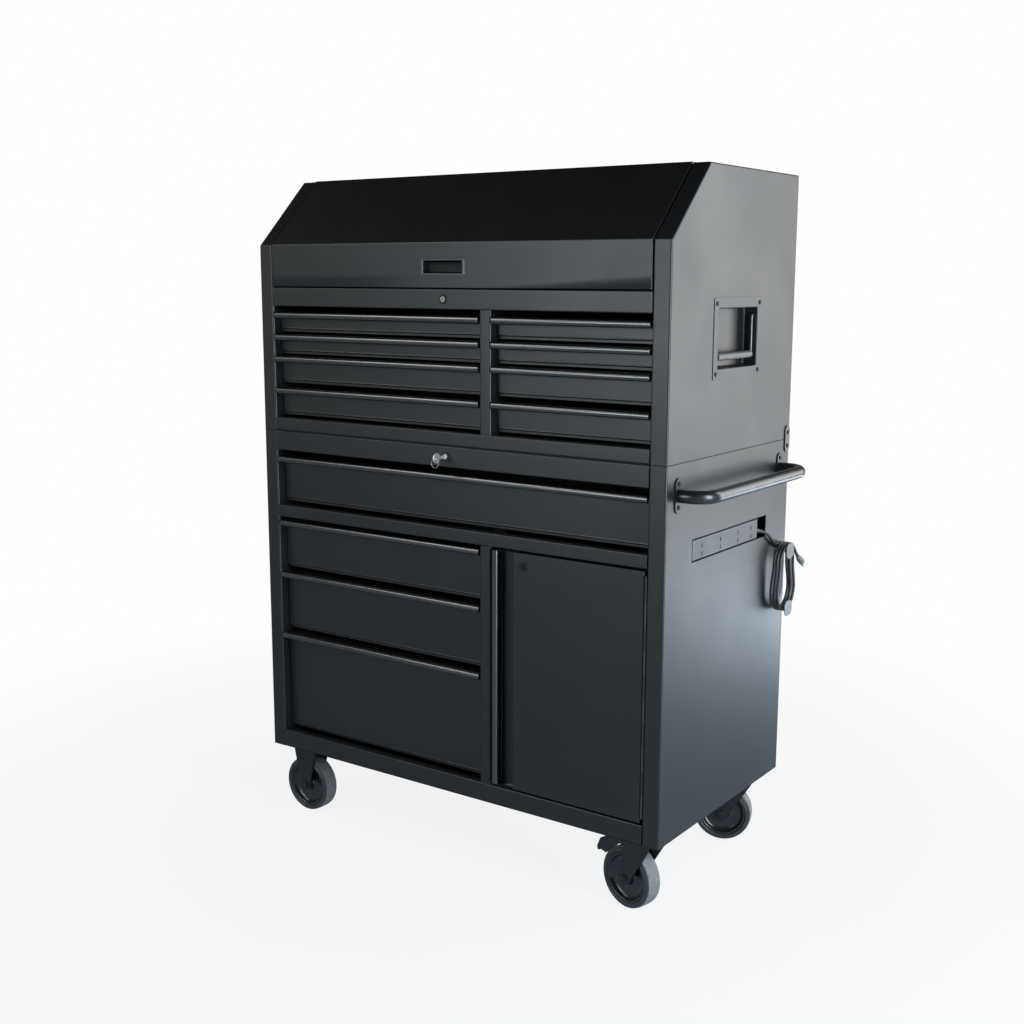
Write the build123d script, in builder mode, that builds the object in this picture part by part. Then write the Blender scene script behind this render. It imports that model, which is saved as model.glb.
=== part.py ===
"""Tool chest and rolling cabinet, made of separate pieces.

Millimetres, +Z up, the front faces -Y. The origin is on the floor, at the middle of the
object's outer box without its free cord.
"""
from build123d import *
from math import atan2, ceil, cos, degrees, dist, hypot, pi, radians, sin, tan
import os

os.makedirs("parts", exist_ok=True)

# Body sizes
body_width = 1168.0
body_depth = 615.0
cabinet_height = 843.0
chest_front_height = 461.0
slope_run = 162.0
sheet = 1.2
post_width = 42.0
mid_post_width = 30.0
left_column_width = 643.5
return_depth = 60.0
gutter_depth = 18.0
upright_depth = 58.0

# Heights of the rails of the face frames
cabinet_bottom_rail = 46.0
cabinet_mid_rail = 31.0
cabinet_top_rail = 50.0
wide_opening_height = 142.0
chest_bottom_rail = 33.0
chest_top_rail = 46.0
chest_opening_height = 279.0
rail_return = 22.0

# Drawers, each row as the height of its front and the gap under it. The lowest front of each
# stack fills what the opening leaves above its foot gap.
front_recess = 25.0
front_side_gap = 2.5
pull_side_gap = 3.5
chest_top_gap = 14.0
chest_rows = [(48.0, 7.0), (48.0, 6.5), (66.5, 13.0)]
chest_foot_gap = 8.0
wide_top_gap = 16.0
wide_foot_gap = 10.0
cabinet_top_gap = 9.0
cabinet_rows = [(123.5, 12.5), (151.0, 11.5)]
cabinet_foot_gap = 9.5
lip_height = 7.0
lip_setback = 6.0
drawer_sheet = 1.0
tub_back_gap = 43.0
tub_rise = 3.0
tub_top_drop = 9.0
front_top_flange = 16.0
front_foot_flange = 20.0

# Slides
slide_space = 13.0
slide_height = 28.0
slide_back_gap = 46.0
slide_sheet = 1.2
slide_gap = 0.4
slide_rise = 7.0
slide_setback = 8.0

# Pull extrusion, for the drawers and the door
pull_radius = 8.25
pull_proud = 3.25
pull_nose_depth = 10.0
pull_web = 2.0
pull_leg = 14.0

# Lid, its hinge and gas struts
lid_gap = 3.0
lid_side_gap = 2.0
lid_proud = 2.0
lid_skirt = 20.0
lid_open_angle = 70.0
hinge_knuckle_radius = 2.9
hinge_standoff = 3.3
hinge_pin_radius = 1.6
hinge_clearance = 0.05
hinge_knuckle_length = 50.0
hinge_knuckle_gap = 0.5
hinge_leaf_sheet = 1.5
hinge_leaf_width = 15.0
hinge_leaf_gap = 0.3
hinge_end_inset = 10.0
hinge_edge_gap = 2.0
cup_width = 115.0
cup_height = 32.0
cup_depth = 20.0
cup_wall = 2.0
cup_rim_ends = 4.5
cup_rim_edges = 1.7
cup_rim_height = 1.5
cup_below_fold = 38.0
strut_inset = 58.0
strut_foot_depth = 390.0
strut_foot_height = 25.0
strut_head_depth = 550.0
strut_head_drop = 31.0
strut_tube_radius = 9.0
strut_tube_wall = 1.2
strut_rod_radius = 4.0
strut_tube_length = 190.0
strut_end_offset = 12.0
strut_neck_radius = 6.0
strut_cap = 6.0
strut_piston = 35.0
strut_piston_length = 12.0
strut_eye_radius = 7.5
strut_eye_half = 4.5
strut_stud_radius = 4.0
strut_stud_clearance = 0.06
strut_head_gap = 0.5
bracket_plate = 2.0
bracket_half_width = 15.0
bracket_base = 25.0
bracket_beyond_eye = 12.0
bracket_side_gap = 2.0

# Door
door_gap = 3.0
door_depth = 24.0
door_end_gap = 5.0
door_recess_width = 60.0
door_edge_flange = 12.0
door_hinge_depth = 2.3
door_lock_inset = 30.5
door_lock_drop = 30.0
door_open_angle = 100.0

# Locks
lock_bezel_radius = 11.0
lock_bezel_height = 2.0
lock_body_radius = 9.4
lock_body_length = 24.0
lock_hole_clearance = 0.1
lock_plug_radius = 6.5
lock_plug_clearance = 0.05
lock_cam_reach = 14.0
lock_cam_sheet = 2.0
lock_cam_gap = 0.3
lock_plug_proud = 0.8
lock_nut_apothem = 12.5
lock_nut_height = 3.0
door_cam_reach = 45.0
cabinet_lock_offset = 4.0

# Key with its ring
key_blade_height = 7.0
key_sheet = 2.0
key_reach = 34.0
key_bow_radius = 12.0
key_hole_radius = 3.0
key_ring_radius = 10.0
key_ring_wire = 0.7
key_ring_gap = 0.1
key_hole_edge = 3.0
key_blade_length = 20.0
key_clearance = 0.1

# Side handle trays and bails
tray_length = 238.0
tray_height = 178.0
tray_corner = 8.0
tray_sheet = 1.5
tray_mouth_length = 193.0
tray_mouth_height = 130.0
tray_depth = 34.0
tray_center_depth = 313.0
tray_center_height = 254.0
tray_cut_clearance = 0.5
tray_notch_gap = 1.0
bail_rod_radius = 3.0
bail_grip_radius = 8.5
bail_length = 88.0
bail_setback = 10.0
bail_clearance = 0.05
tray_screw_inset = 13.0
bail_pivot_drop = 17.0
bail_side_gap = 3.0
bail_pin_end = 5.0
bail_bend = 3.5
bail_grip_end = 6.5
bail_grip_round = 2.0

# Push handle
handle_tube_radius = 14.5
handle_tube_wall = 1.6
handle_reach = 68.0
handle_bend = 45.0
handle_front_inset = 50.0
handle_back_inset = 53.0
handle_below_seam = 67.5
flange_width = 29.0
flange_height = 76.0
flange_sheet = 3.0
flange_screw_offset = 25.5

# Screws
screw_head_radius = 5.0
screw_head_height = 2.0
screw_shank_radius = 2.5
screw_hole_clearance = 0.2
screw_length = 9.0
screw_head_round = 1.2

# Power strip, its cut-out and the cord hook
strip_slot_back = 116.0
strip_slot_length = 378.0
strip_slot_height = 52.0
strip_slot_drop = 199.0
strip_length = 333.0
strip_depth = 40.0
strip_gap = 1.0
strip_face_inset = 1.0
outlet_positions = [51.0, 141.0, 231.0, 300.0]
outlet_slot = (2.4, 9.0)
outlet_slot_spacing = 18.0
outlet_slot_depth = 8.0
outlet_drop = 3.5
strip_lip = 8.0
strip_lip_sheet = 1.5
relief_radius = 6.0
relief_tip = 0.4
relief_inset = 8.0
relief_drop = 6.0
relief_reach = (6.8, 18.6, -4.5)
hook_inset = 48.0
hook_arm_width = 24.0
hook_sheet = 2.0
hook_ear_width = 42.0
hook_ear_height = 38.0
hook_ear_corner = 14.7
hook_foot_height = 30.0
hook_reach = 35.0
hook_cord_drop = 3.8
hook_ear_drop = 8.0
hook_lower_ear_drop = 2.0

# Power cord
cord_diameter = 7.5
coil_turns = 3
coil_pitch = 8.1
coil_start = 5.5
coil_height = 164.0
coil_top_drop = 252.0
coil_inset = 43.0
coil_radii = [46.0, 50.0, 45.0, 48.5, 46.5, 49.0, 46.0]
coil_least_gap = 0.4
bend_share = 0.45
lead_first_run = 10.8
tail_start_straight = 7.0
plug_body_length = 26.0
plug_neck_length = 8.0
plug_neck_radius = 5.5
plug_radius = 8.0
prong_length = 13.0
prong_size = (1.6, 6.0)
prong_spacing = 10.4
ground_prong_radius = 2.2

# Casters
wheel_radius = 72.5
wheel_clearance = 42.0
wheel_width = 44.0
tyre_thickness = 14.0
tyre_round = 6.0
axle_radius = 5.0
axle_clearance = 0.05
hub_radius = 17.0
caster_inset = 73.0
caster_inset_depth = 66.0
caster_trail = 35.0
swivel_front_angle = -12.8
swivel_rear_angle = 18.2
plate_length = 105.0
plate_width = 90.0
plate_sheet = 4.0
fork_sheet = 3.5
fork_side_gap = 1.5
raceway_radius = 33.0
raceway_height = 12.0
raceway_gap = 0.4
fork_top_width = 74.0
fork_foot_radius = 16.0
fork_foot_turn = 17.0
kingpin_radius = 7.0
kingpin_clearance = 0.08
kingpin_top_gap = 0.5
crown_round = 8.0
leg_top_depth = 14.0
core_width = 40.0
core_recess_depth = 12.0
core_recess_radii = (21.0, 51.0)
hub_width = 46.0
axle_head_radius = 8.5
axle_head_height = 5.0
bolt_shank_radius = 4.0
bolt_head_radius = 6.5
bolt_head_height = 5.0
bolt_end = 8.0
bolt_inset = 10.0
pedal_width = 30.0
pedal_pin_back = 15.0
pedal_pin_rise = 12.0
pedal_pin_radius = 3.0
pedal_ear_sheet = 3.0
pedal_ear_gap = 0.5
pedal_tyre_gap = 4.0

# Outline of the brake pedal as (angle round the axle, height over the tyre)
pedal_outline = [
    (96.7, 5.0), (95.7, 18.5), (106.4, 22.9), (125.6, 25.3),
    (142.3, 36.2), (155.6, 32.9), (159.7, 26.7), (154.3, 18.5),
]
pedal_tyre_angles = [152.0, 140.0, 125.0, 110.0, 99.0]

# How far a cutting body runs past what it cuts
overcut = 1.0

# Tie plates between chest and cabinet
tie_width = 25.0
tie_height = 64.0
tie_sheet = 3.0
tie_back_inset = 1.5

# Places in the row's frame
side_proud = tie_sheet + screw_head_height
key_proud = key_reach + key_bow_radius
hinge_proud = hinge_standoff + hinge_knuckle_radius
handle_proud = handle_reach + handle_tube_radius
x_left = side_proud - (side_proud + body_width + handle_proud) / 2
x_right = x_left + body_width
y_front = key_proud - (key_proud + body_depth + hinge_proud) / 2
y_back = y_front + body_depth
z_cabinet = 2 * wheel_radius + wheel_clearance
z_seam = z_cabinet + cabinet_height
z_fold = z_seam + chest_front_height
z_top = z_fold + slope_run
x_middle = (x_left + x_right) / 2

# Openings of the face frames
left_column = (x_left + post_width, x_left + post_width + left_column_width)
right_column = (left_column[1] + mid_post_width, x_right - post_width)
whole_opening = (left_column[0], right_column[1])
z_lower_opening = z_cabinet + cabinet_bottom_rail
z_mid_rail = z_seam - cabinet_top_rail - wide_opening_height - cabinet_mid_rail
z_wide_opening = z_mid_rail + cabinet_mid_rail
z_wide_top = z_wide_opening + wide_opening_height
z_chest_opening = z_seam + chest_bottom_rail
z_chest_rail = z_chest_opening + chest_opening_height
z_till_rim = z_chest_rail + chest_top_rail
z_lid_bottom = z_till_rim + lid_gap


def block(x, y, z, mode=Mode.ADD):
    """A box between two limits along each axis."""
    with Locations((x[0], y[0], z[0])):
        Box(x[1] - x[0], y[1] - y[0], z[1] - z[0], align=(Align.MIN, Align.MIN, Align.MIN), mode=mode)


def rod(start, end, radius, mode=Mode.ADD):
    """A round rod between two points."""
    direction = Vector(*end) - Vector(*start)
    with Locations(Plane(origin=start, z_dir=direction)):
        Cylinder(radius, direction.length, align=(Align.CENTER, Align.CENTER, Align.MIN), mode=mode)


def prism(points, x, mode=Mode.ADD):
    """A solid with an outline of (y, z) points, between two limits along X."""
    with BuildSketch(Plane.YZ.offset(x[0])) as outline:
        with BuildLine():
            Polyline(*points, close=True)
        make_face()
    extrude(outline.sketch, amount=x[1] - x[0], mode=mode)


def save(name, *pieces):
    """Label a node's pieces and write them to one STEP file."""
    if len(pieces) == 1:
        pieces[0].label = name
        export_step(pieces[0], f"parts/{name}.step")
        return
    group = Compound(label=name, children=list(pieces))
    export_step(group, f"parts/{name}.step")


def mirrored(piece):
    """The same piece on the other side of the body."""
    return mirror(piece, about=Plane.YZ.offset(x_middle), mode=Mode.PRIVATE)


# Cabinet walls. Each side is one folded sheet: its face, a post turned in at the front and
# the post's return.
def cabinet_side():
    with BuildPart() as side:
        block((x_right - sheet, x_right), (y_front, y_back), (z_cabinet, z_seam))
        block((x_right - post_width, x_right), (y_front, y_front + sheet), (z_cabinet, z_seam))
        block((x_right - post_width, x_right - post_width + sheet),
              (y_front, y_front + return_depth), (z_cabinet + sheet, z_seam - sheet))
    return side.part


def side_holes(places):
    """Screw holes through the right wall, at (y, z) places."""
    radius = screw_shank_radius + screw_hole_clearance
    for y, z in places:
        rod((x_right - 2 * sheet, y, z), (x_right + 2 * sheet, y, z), radius, Mode.SUBTRACT)


handle_ends = [y_front + handle_front_inset, y_back - handle_back_inset]
z_handle = z_seam - handle_below_seam
handle_screws = [(y, z_handle + side * flange_screw_offset) for y in handle_ends for side in (-1, 1)]
y_tie = y_back - tie_back_inset - tie_width / 2
tie_screws = [(y_tie, z_seam - tie_height / 4), (y_tie, z_seam + tie_height / 4)]
y_hook = y_back - hook_inset
slot_y = (y_back - strip_slot_back - strip_slot_length, y_back - strip_slot_back)
z_slot = z_seam - strip_slot_drop
slot_z = (z_slot - strip_slot_height / 2, z_slot + strip_slot_height / 2)

with BuildPart() as cabinet_side_right:
    add(cabinet_side())
    block((x_right - 2 * sheet, x_right + sheet), slot_y, slot_z, Mode.SUBTRACT)
    side_holes(handle_screws + tie_screws[:1])
save("cabinet_side_right", cabinet_side_right.part)

with BuildPart() as cabinet_left_blank:
    add(cabinet_side())
    side_holes(tie_screws[:1])
save("cabinet_side_left", mirrored(cabinet_left_blank.part))

inner_x = (x_left + sheet, x_right - sheet)
inner_depth = (y_front + sheet, y_back - sheet)


def uprights(z):
    """Channels at the back wall that carry the rear ends of the slides."""
    channels = []
    y = (y_back - sheet - upright_depth, y_back - sheet)
    for x, room_x in (((inner_x[0], left_column[0]), (inner_x[0], left_column[0] - sheet)),
                      ((right_column[1], inner_x[1]), (right_column[1] + sheet, inner_x[1]))):
        with BuildPart() as upright:
            block(x, y, z)
            block(room_x, (y[0] + sheet, y[1] + sheet), z, Mode.SUBTRACT)
        channels.append(upright.part)
    return channels


with BuildPart() as cabinet_back:
    block(inner_x, (y_back - sheet, y_back), (z_cabinet + sheet, z_seam - sheet))
save("cabinet_back", cabinet_back.part, *uprights((z_lower_opening, z_wide_top)))

x_swivel, x_rigid = x_right - caster_inset, x_left + caster_inset
caster_y = (y_front + caster_inset_depth, y_back - caster_inset_depth)
bolt_places = [(sx * (plate_length / 2 - bolt_inset), sy * (plate_width / 2 - bolt_inset))
               for sx in (-1, 1) for sy in (-1, 1)]
caster_places = [(x, y) for x in (x_rigid, x_swivel) for y in caster_y]
caster_bolt_places = [(x + bx, y + by) for x, y in caster_places for bx, by in bolt_places]
bolt_hole_radius = bolt_shank_radius + screw_hole_clearance

with BuildPart() as cabinet_floor:
    block(inner_x, inner_depth, (z_cabinet, z_cabinet + sheet))
    for x, y in caster_bolt_places:
        rod((x, y, z_cabinet - sheet), (x, y, z_cabinet + 2 * sheet), bolt_hole_radius, Mode.SUBTRACT)
    for x0 in (inner_x[0], inner_x[1] - sheet):
        block((x0, x0 + sheet), (y_front + return_depth, y_back - sheet - upright_depth),
              (z_cabinet, z_cabinet + gutter_depth))
save("cabinet_floor", cabinet_floor.part)

with BuildPart() as cabinet_top:
    block(inner_x, inner_depth, (z_seam - sheet, z_seam))
save("cabinet_top", cabinet_top.part)


# Face frames. Each rail is a channel, open to the back, between the posts of the sides.
def rail(x, z):
    block(x, (y_front, y_front + sheet), z)
    block(x, (y_front, y_front + rail_return), (z[0], z[0] + sheet))
    block(x, (y_front, y_front + rail_return), (z[1] - sheet, z[1]))


def mid_post(z):
    x0, x1 = left_column[1], right_column[0]
    block((x0, x1), (y_front, y_front + sheet), z)
    block((x0, x0 + sheet), (y_front, y_front + return_depth), z)
    block((x1 - sheet, x1), (y_front, y_front + return_depth), z)


def lock_hole(x, z):
    rod((x, y_front - sheet, z), (x, y_front + 2 * sheet, z), lock_body_radius + lock_hole_clearance,
        Mode.SUBTRACT)


chest_lock = (x_middle, z_chest_rail + chest_top_rail / 2)
cabinet_lock = (x_middle + cabinet_lock_offset, z_seam - cabinet_top_rail / 2)

with BuildPart() as cabinet_frame:
    rail(whole_opening, (z_cabinet + sheet, z_lower_opening))
    rail(whole_opening, (z_mid_rail, z_wide_opening))
    rail(whole_opening, (z_wide_top, z_seam - sheet))
    mid_post((z_lower_opening, z_mid_rail))
    lock_hole(*cabinet_lock)
save("cabinet_frame", cabinet_frame.part)

with BuildPart() as chest_frame:
    rail(whole_opening, (z_seam + sheet, z_chest_opening))
    rail(whole_opening, (z_chest_rail, z_till_rim))
    mid_post((z_chest_opening, z_chest_rail))
    lock_hole(*chest_lock)
save("chest_frame", chest_frame.part)


# Partitions behind the mid posts. Each is a folded sheet, open at the back and the bottom.
def partition(z):
    x0, x1 = left_column[1], right_column[0]
    y0 = y_front + return_depth
    with BuildPart() as wall:
        block((x0, x1), (y0, y_back - sheet), z)
        block((x0 + sheet, x1 - sheet), (y0 + sheet, y_back), (z[0] - sheet, z[1] - sheet), Mode.SUBTRACT)
    return wall.part


save("cabinet_partition", partition((z_cabinet + sheet, z_wide_opening - sheet)))
z_till_floor = z_chest_rail + sheet
save("chest_partition", partition((z_seam + sheet, z_till_floor)))

# Chest walls. A side is one folded sheet: its face, a strip turned in along the front, the
# slope and the top, and the strip's return.
bevel = tan(radians(22.5))


def chest_line(inset, z_start):
    """The front, slope and top of the chest as (y, z) points, moved inwards by an inset."""
    return [
        (y_front + inset, z_start),
        (y_front + inset, z_fold - inset * bevel),
        (y_front + slope_run + inset * bevel, z_top - inset),
        (y_back, z_top - inset),
    ]


def chest_band(inset, depth, z_start):
    """The outline of a sheet that follows the chest's front, slope and top."""
    return chest_line(inset, z_start) + chest_line(inset + depth, z_start)[::-1]


tray_y = y_front + tray_center_depth
tray_z = z_seam + tray_center_height
tray_screws = [
    (tray_y + sy * (tray_length / 2 - tray_screw_inset), tray_z + sz * (tray_height / 2 - tray_screw_inset))
    for sy in (-1, 1)
    for sz in (-1, 1)
]

cut_y = tray_mouth_length / 2 + tray_sheet + tray_cut_clearance
cut_z = tray_mouth_height / 2 + tray_sheet + tray_cut_clearance
with BuildPart() as chest_side_right:
    prism(chest_line(0, z_seam) + [(y_back, z_seam)], (x_right - sheet, x_right))
    prism(chest_band(0, sheet, z_seam), (x_right - post_width, x_right))
    prism(chest_band(0, gutter_depth, z_seam + sheet), (x_right - post_width, x_right - post_width + sheet))
    block((x_right - post_width, x_right - post_width + sheet), (y_front, y_front + return_depth),
          (z_seam + sheet, z_till_rim))
    block((x_right - 2 * sheet, x_right + sheet), (tray_y - cut_y, tray_y + cut_y),
          (tray_z - cut_z, tray_z + cut_z), Mode.SUBTRACT)
    side_holes(tray_screws + tie_screws[1:])
save("chest_side_right", chest_side_right.part)
save("chest_side_left", mirrored(chest_side_right.part))

z_hinge = z_top + lid_proud - lid_skirt
with BuildPart() as chest_back:
    block(inner_x, (y_back - sheet, y_back), (z_seam + sheet, z_hinge - hinge_edge_gap))
save("chest_back", chest_back.part, *uprights((z_chest_opening, z_chest_rail)))

with BuildPart() as chest_bottom:
    block(inner_x, inner_depth, (z_seam, z_seam + sheet))
save("chest_bottom", chest_bottom.part)

# Gas strut places, on the chest's left side. The rod's end meets the lid's bracket there.
strut_foot = (y_front + strut_foot_depth, z_till_floor + strut_foot_height)
strut_head = (y_front + strut_head_depth, z_top - strut_head_drop)
strut_x = x_left + strut_inset
strut_angle = atan2(strut_head[1] - strut_foot[1], strut_head[0] - strut_foot[0])
strut_length = hypot(strut_head[1] - strut_foot[1], strut_head[0] - strut_foot[0])
strut_bracket_x = strut_x + strut_tube_radius + bracket_side_gap


def along_strut(distance, x=strut_x):
    """The point at a distance from the strut's foot, on its axis."""
    return (x, strut_foot[0] + distance * cos(strut_angle), strut_foot[1] + distance * sin(strut_angle))


with BuildPart() as till_floor:
    block(inner_x, (y_front + return_depth, y_back - sheet), (z_till_floor, z_till_floor + sheet))
    block(whole_opening, (y_front + sheet, y_front + return_depth), (z_till_floor, z_till_floor + sheet))
    notch = tray_depth + tray_notch_gap
    for notch_x in ((x_left, x_left + notch), (x_right - notch, x_right)):
        block(notch_x, (tray_y - cut_y, tray_y + cut_y), (z_till_floor - sheet, z_till_floor + 2 * sheet),
              Mode.SUBTRACT)


def strut_bracket(y, z_base, z_eye):
    """An angle bracket, with its plate beside the strut and its base on a sheet."""
    way = 1 if z_eye > z_base else -1
    x = strut_bracket_x
    width = (y - bracket_half_width, y + bracket_half_width)
    with BuildPart() as bracket:
        block((x, x + bracket_plate), width, sorted((z_base, z_eye + way * bracket_beyond_eye)))
        block((x, x + bracket_base), width, sorted((z_base, z_base + way * bracket_plate)))
        if way == 1:
            rod(along_strut(0, strut_x - strut_eye_half), along_strut(0, strut_bracket_x), strut_stud_radius)
    return bracket.part


floor_bracket = strut_bracket(strut_foot[0], z_till_floor + sheet, strut_foot[1])
save("chest_till_floor", till_floor.part, floor_bracket, mirrored(floor_bracket))


# Drawers. Each node holds the folded tub, its front with a set-back lip at the foot, the
# pull along the top of the front, and the two inner members of its slides.
def pull_bar(place, length):
    """The pull's bar: a half-round nose, a web and a leg on the front. Its top edge is at 0, 0."""
    y_nose = pull_radius - pull_proud
    y_nose_back = pull_nose_depth - pull_proud
    with BuildPart() as bar:
        with BuildSketch(place):
            with BuildLine():
                Polyline((front_recess, 0), (y_nose, 0))
                ThreePointArc((y_nose, 0), (-pull_proud, -pull_radius), (y_nose, -2 * pull_radius))
                Polyline((y_nose, -2 * pull_radius), (y_nose_back, -2 * pull_radius),
                         (y_nose_back, -pull_web), (front_recess - pull_web, -pull_web),
                         (front_recess - pull_web, -pull_leg), (front_recess, -pull_leg), (front_recess, 0))
            make_face()
        extrude(amount=length)
    return bar.part


def slide_member(wall_x, toward, z0, moving):
    """One member of a slide beside a column wall. The inner one nests in the outer one."""
    inset = slide_sheet + slide_gap if moving else 0.0
    depth = (inset, slide_space) if moving else (0.0, slide_space - slide_sheet - slide_gap)
    web = (slide_space - slide_sheet, slide_space) if moving else (0.0, slide_sheet)
    z = (z0 + inset, z0 + slide_height - inset)
    y = (y_front + front_recess + slide_setback, y_back - slide_back_gap)
    web_x = sorted(wall_x + toward * d for d in web)
    flange_x = sorted(wall_x + toward * d for d in depth)
    with BuildPart() as member:
        block(web_x, y, z)
        block(flange_x, y, (z[0], z[0] + slide_sheet))
        block(flange_x, y, (z[1] - slide_sheet, z[1]))
    return member.part


fixed_members = []


def drawer(name, column, z_pull, height):
    x0, x1 = column
    z_foot = z_pull - height
    z_lip = z_foot + lip_height
    y_face = y_front + front_recess
    y_set_back = y_face + lip_setback
    y_tub = y_set_back + drawer_sheet

    with BuildPart() as front:
        outline = [
            (y_face, z_pull), (y_face, z_lip), (y_set_back, z_foot), (y_tub, z_foot),
            (y_tub, z_foot + front_foot_flange), (y_set_back, z_foot + front_foot_flange),
            (y_set_back, z_foot + 2 * drawer_sheet), (y_face + drawer_sheet, z_lip + drawer_sheet / 2),
            (y_face + drawer_sheet, z_pull - drawer_sheet), (y_set_back, z_pull - drawer_sheet),
            (y_set_back, z_pull - front_top_flange), (y_tub, z_pull - front_top_flange), (y_tub, z_pull),
        ]
        prism(outline, (x0 + front_side_gap, x1 - front_side_gap))

    with BuildPart() as tub:
        block((x0 + slide_space, x1 - slide_space), (y_tub, y_back - tub_back_gap),
              (z_foot + tub_rise, z_pull - tub_top_drop))
        offset(amount=-drawer_sheet, openings=tub.faces().sort_by(Axis.Z)[-1])

    pull_place = Plane(origin=(x0 + pull_side_gap, y_front, z_pull), x_dir=(0, 1, 0), z_dir=(1, 0, 0))
    pull = pull_bar(pull_place, x1 - x0 - 2 * pull_side_gap)
    z_slide = z_foot + slide_rise
    runners = [slide_member(x0, 1, z_slide, True), slide_member(x1, -1, z_slide, True)]
    fixed_members.append(slide_member(x0, 1, z_slide, False))
    fixed_members.append(slide_member(x1, -1, z_slide, False))
    save(name, front.part, tub.part, pull, *runners)


def stack(name, column, z_pull, z_foot, rows):
    """Drawers from the top down, to the foot of the lowest front."""
    for row, (height, gap) in enumerate(rows, start=1):
        drawer(f"{name}_{row}", column, z_pull, height)
        z_pull -= height + gap
    drawer(f"{name}_{len(rows) + 1}", column, z_pull, z_pull - z_foot)


z_chest_pull, z_chest_foot = z_chest_rail - chest_top_gap, z_chest_opening + chest_foot_gap
stack("chest_drawer_left", left_column, z_chest_pull, z_chest_foot, chest_rows)
stack("chest_drawer_right", right_column, z_chest_pull, z_chest_foot, chest_rows)

z_wide_pull = z_wide_top - wide_top_gap
drawer("cabinet_drawer_wide", whole_opening, z_wide_pull, z_wide_pull - z_wide_opening - wide_foot_gap)
z_lower_pull, z_lower_foot = z_mid_rail - cabinet_top_gap, z_lower_opening + cabinet_foot_gap
stack("cabinet_drawer_left", left_column, z_lower_pull, z_lower_foot, cabinet_rows)

save("drawer_rails", *fixed_members)


# Piano hinges. A leaf is built along X with its pin at 0, 0, its plate one standoff from the
# pin along -Y and running down, then it is turned into its place.
def hinge_leaf(length, first, place):
    count = int(length / (hinge_knuckle_length + hinge_knuckle_gap))
    pitch = length / count
    y = (-hinge_standoff, -hinge_standoff + hinge_leaf_sheet)
    z_near = -hinge_knuckle_radius - hinge_leaf_gap
    with BuildPart() as leaf:
        block((0, length), y, (z_near - hinge_leaf_width, z_near))
        for k in range(first, count, 2):
            x = (k * pitch + hinge_knuckle_gap / 2, (k + 1) * pitch - hinge_knuckle_gap / 2)
            rod((x[0], 0, 0), (x[1], 0, 0), hinge_knuckle_radius)
            block(x, y, (z_near - hinge_leaf_sheet, 0))
        rod((-overcut, 0, 0), (length + overcut, 0, 0), hinge_pin_radius + hinge_clearance, Mode.SUBTRACT)
    return leaf.part.moved(place.location)


def hinge(length, fixed_place, moving_place):
    """The fixed leaf, the moving leaf, whose X runs the other way, and the pin."""
    count = int(length / (hinge_knuckle_length + hinge_knuckle_gap))
    with BuildPart() as pin:
        rod((0, 0, 0), (length, 0, 0), hinge_pin_radius)
    return (hinge_leaf(length, 0, fixed_place), hinge_leaf(length, count % 2, moving_place),
            pin.part.moved(fixed_place.location))


lid_x = (x_left + post_width + lid_side_gap, x_right - post_width - lid_side_gap)
lid_hinge_x = (lid_x[0] + hinge_end_inset, lid_x[1] - hinge_end_inset)
y_hinge = y_back + hinge_standoff
lid_fixed_leaf, lid_moving_leaf, lid_pin = hinge(
    lid_hinge_x[1] - lid_hinge_x[0],
    Plane(origin=(lid_hinge_x[0], y_hinge, z_hinge), x_dir=(1, 0, 0), z_dir=(0, 0, 1)),
    Plane(origin=(lid_hinge_x[1], y_hinge, z_hinge), x_dir=(-1, 0, 0), z_dir=(0, 0, -1)),
)

door_z = (z_lower_opening + door_end_gap, z_mid_rail - door_end_gap)
door_x = (right_column[0] + door_gap, right_column[1] - 2 * hinge_standoff)
door_hinge_z = (door_z[0] + hinge_end_inset, door_z[1] - hinge_end_inset)
x_door_hinge = right_column[1] - hinge_standoff
y_door_hinge = y_front + door_hinge_depth
door_fixed_leaf, door_moving_leaf, door_pin = hinge(
    door_hinge_z[1] - door_hinge_z[0],
    Plane(origin=(x_door_hinge, y_door_hinge, door_hinge_z[0]), x_dir=(0, 0, 1), z_dir=(0, -1, 0)),
    Plane(origin=(x_door_hinge, y_door_hinge, door_hinge_z[1]), x_dir=(0, 0, -1), z_dir=(0, -1, 0)),
)
save("piano_hinges", lid_fixed_leaf, lid_pin, door_fixed_leaf, door_pin)

# Lid. One folded sheet that follows the front, the slope and the top, with a skirt at each
# side, a return at its front edge and a flange down to the hinge.
cup_y = (y_front - lid_proud, y_front - lid_proud + cup_depth)
cup_z = (z_fold - cup_below_fold - cup_height, z_fold - cup_below_fold)
cup_x = (x_middle - cup_width / 2, x_middle + cup_width / 2)
z_lid_top = z_top + lid_proud

with BuildPart() as lid_shell:
    prism(chest_band(-lid_proud, sheet, z_lid_bottom), lid_x)
    for x0 in (lid_x[0], lid_x[1] - sheet):
        prism(chest_band(-lid_proud, lid_skirt, z_lid_bottom), (x0, x0 + sheet))
    block(lid_x, (y_back - sheet, y_back), (z_hinge + hinge_edge_gap, z_lid_top - sheet / 2))
    block(lid_x, (y_front - lid_proud, y_front - lid_proud + lid_skirt), (z_lid_bottom, z_lid_bottom + sheet))
    block(cup_x, (cup_y[0] - overcut, cup_y[0] + 2 * sheet), cup_z, Mode.SUBTRACT)

lid_bracket = strut_bracket(strut_head[0], z_lid_top - sheet, strut_head[1])
save("lid", lid_shell.part, lid_moving_leaf, lid_bracket, mirrored(lid_bracket))

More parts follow.
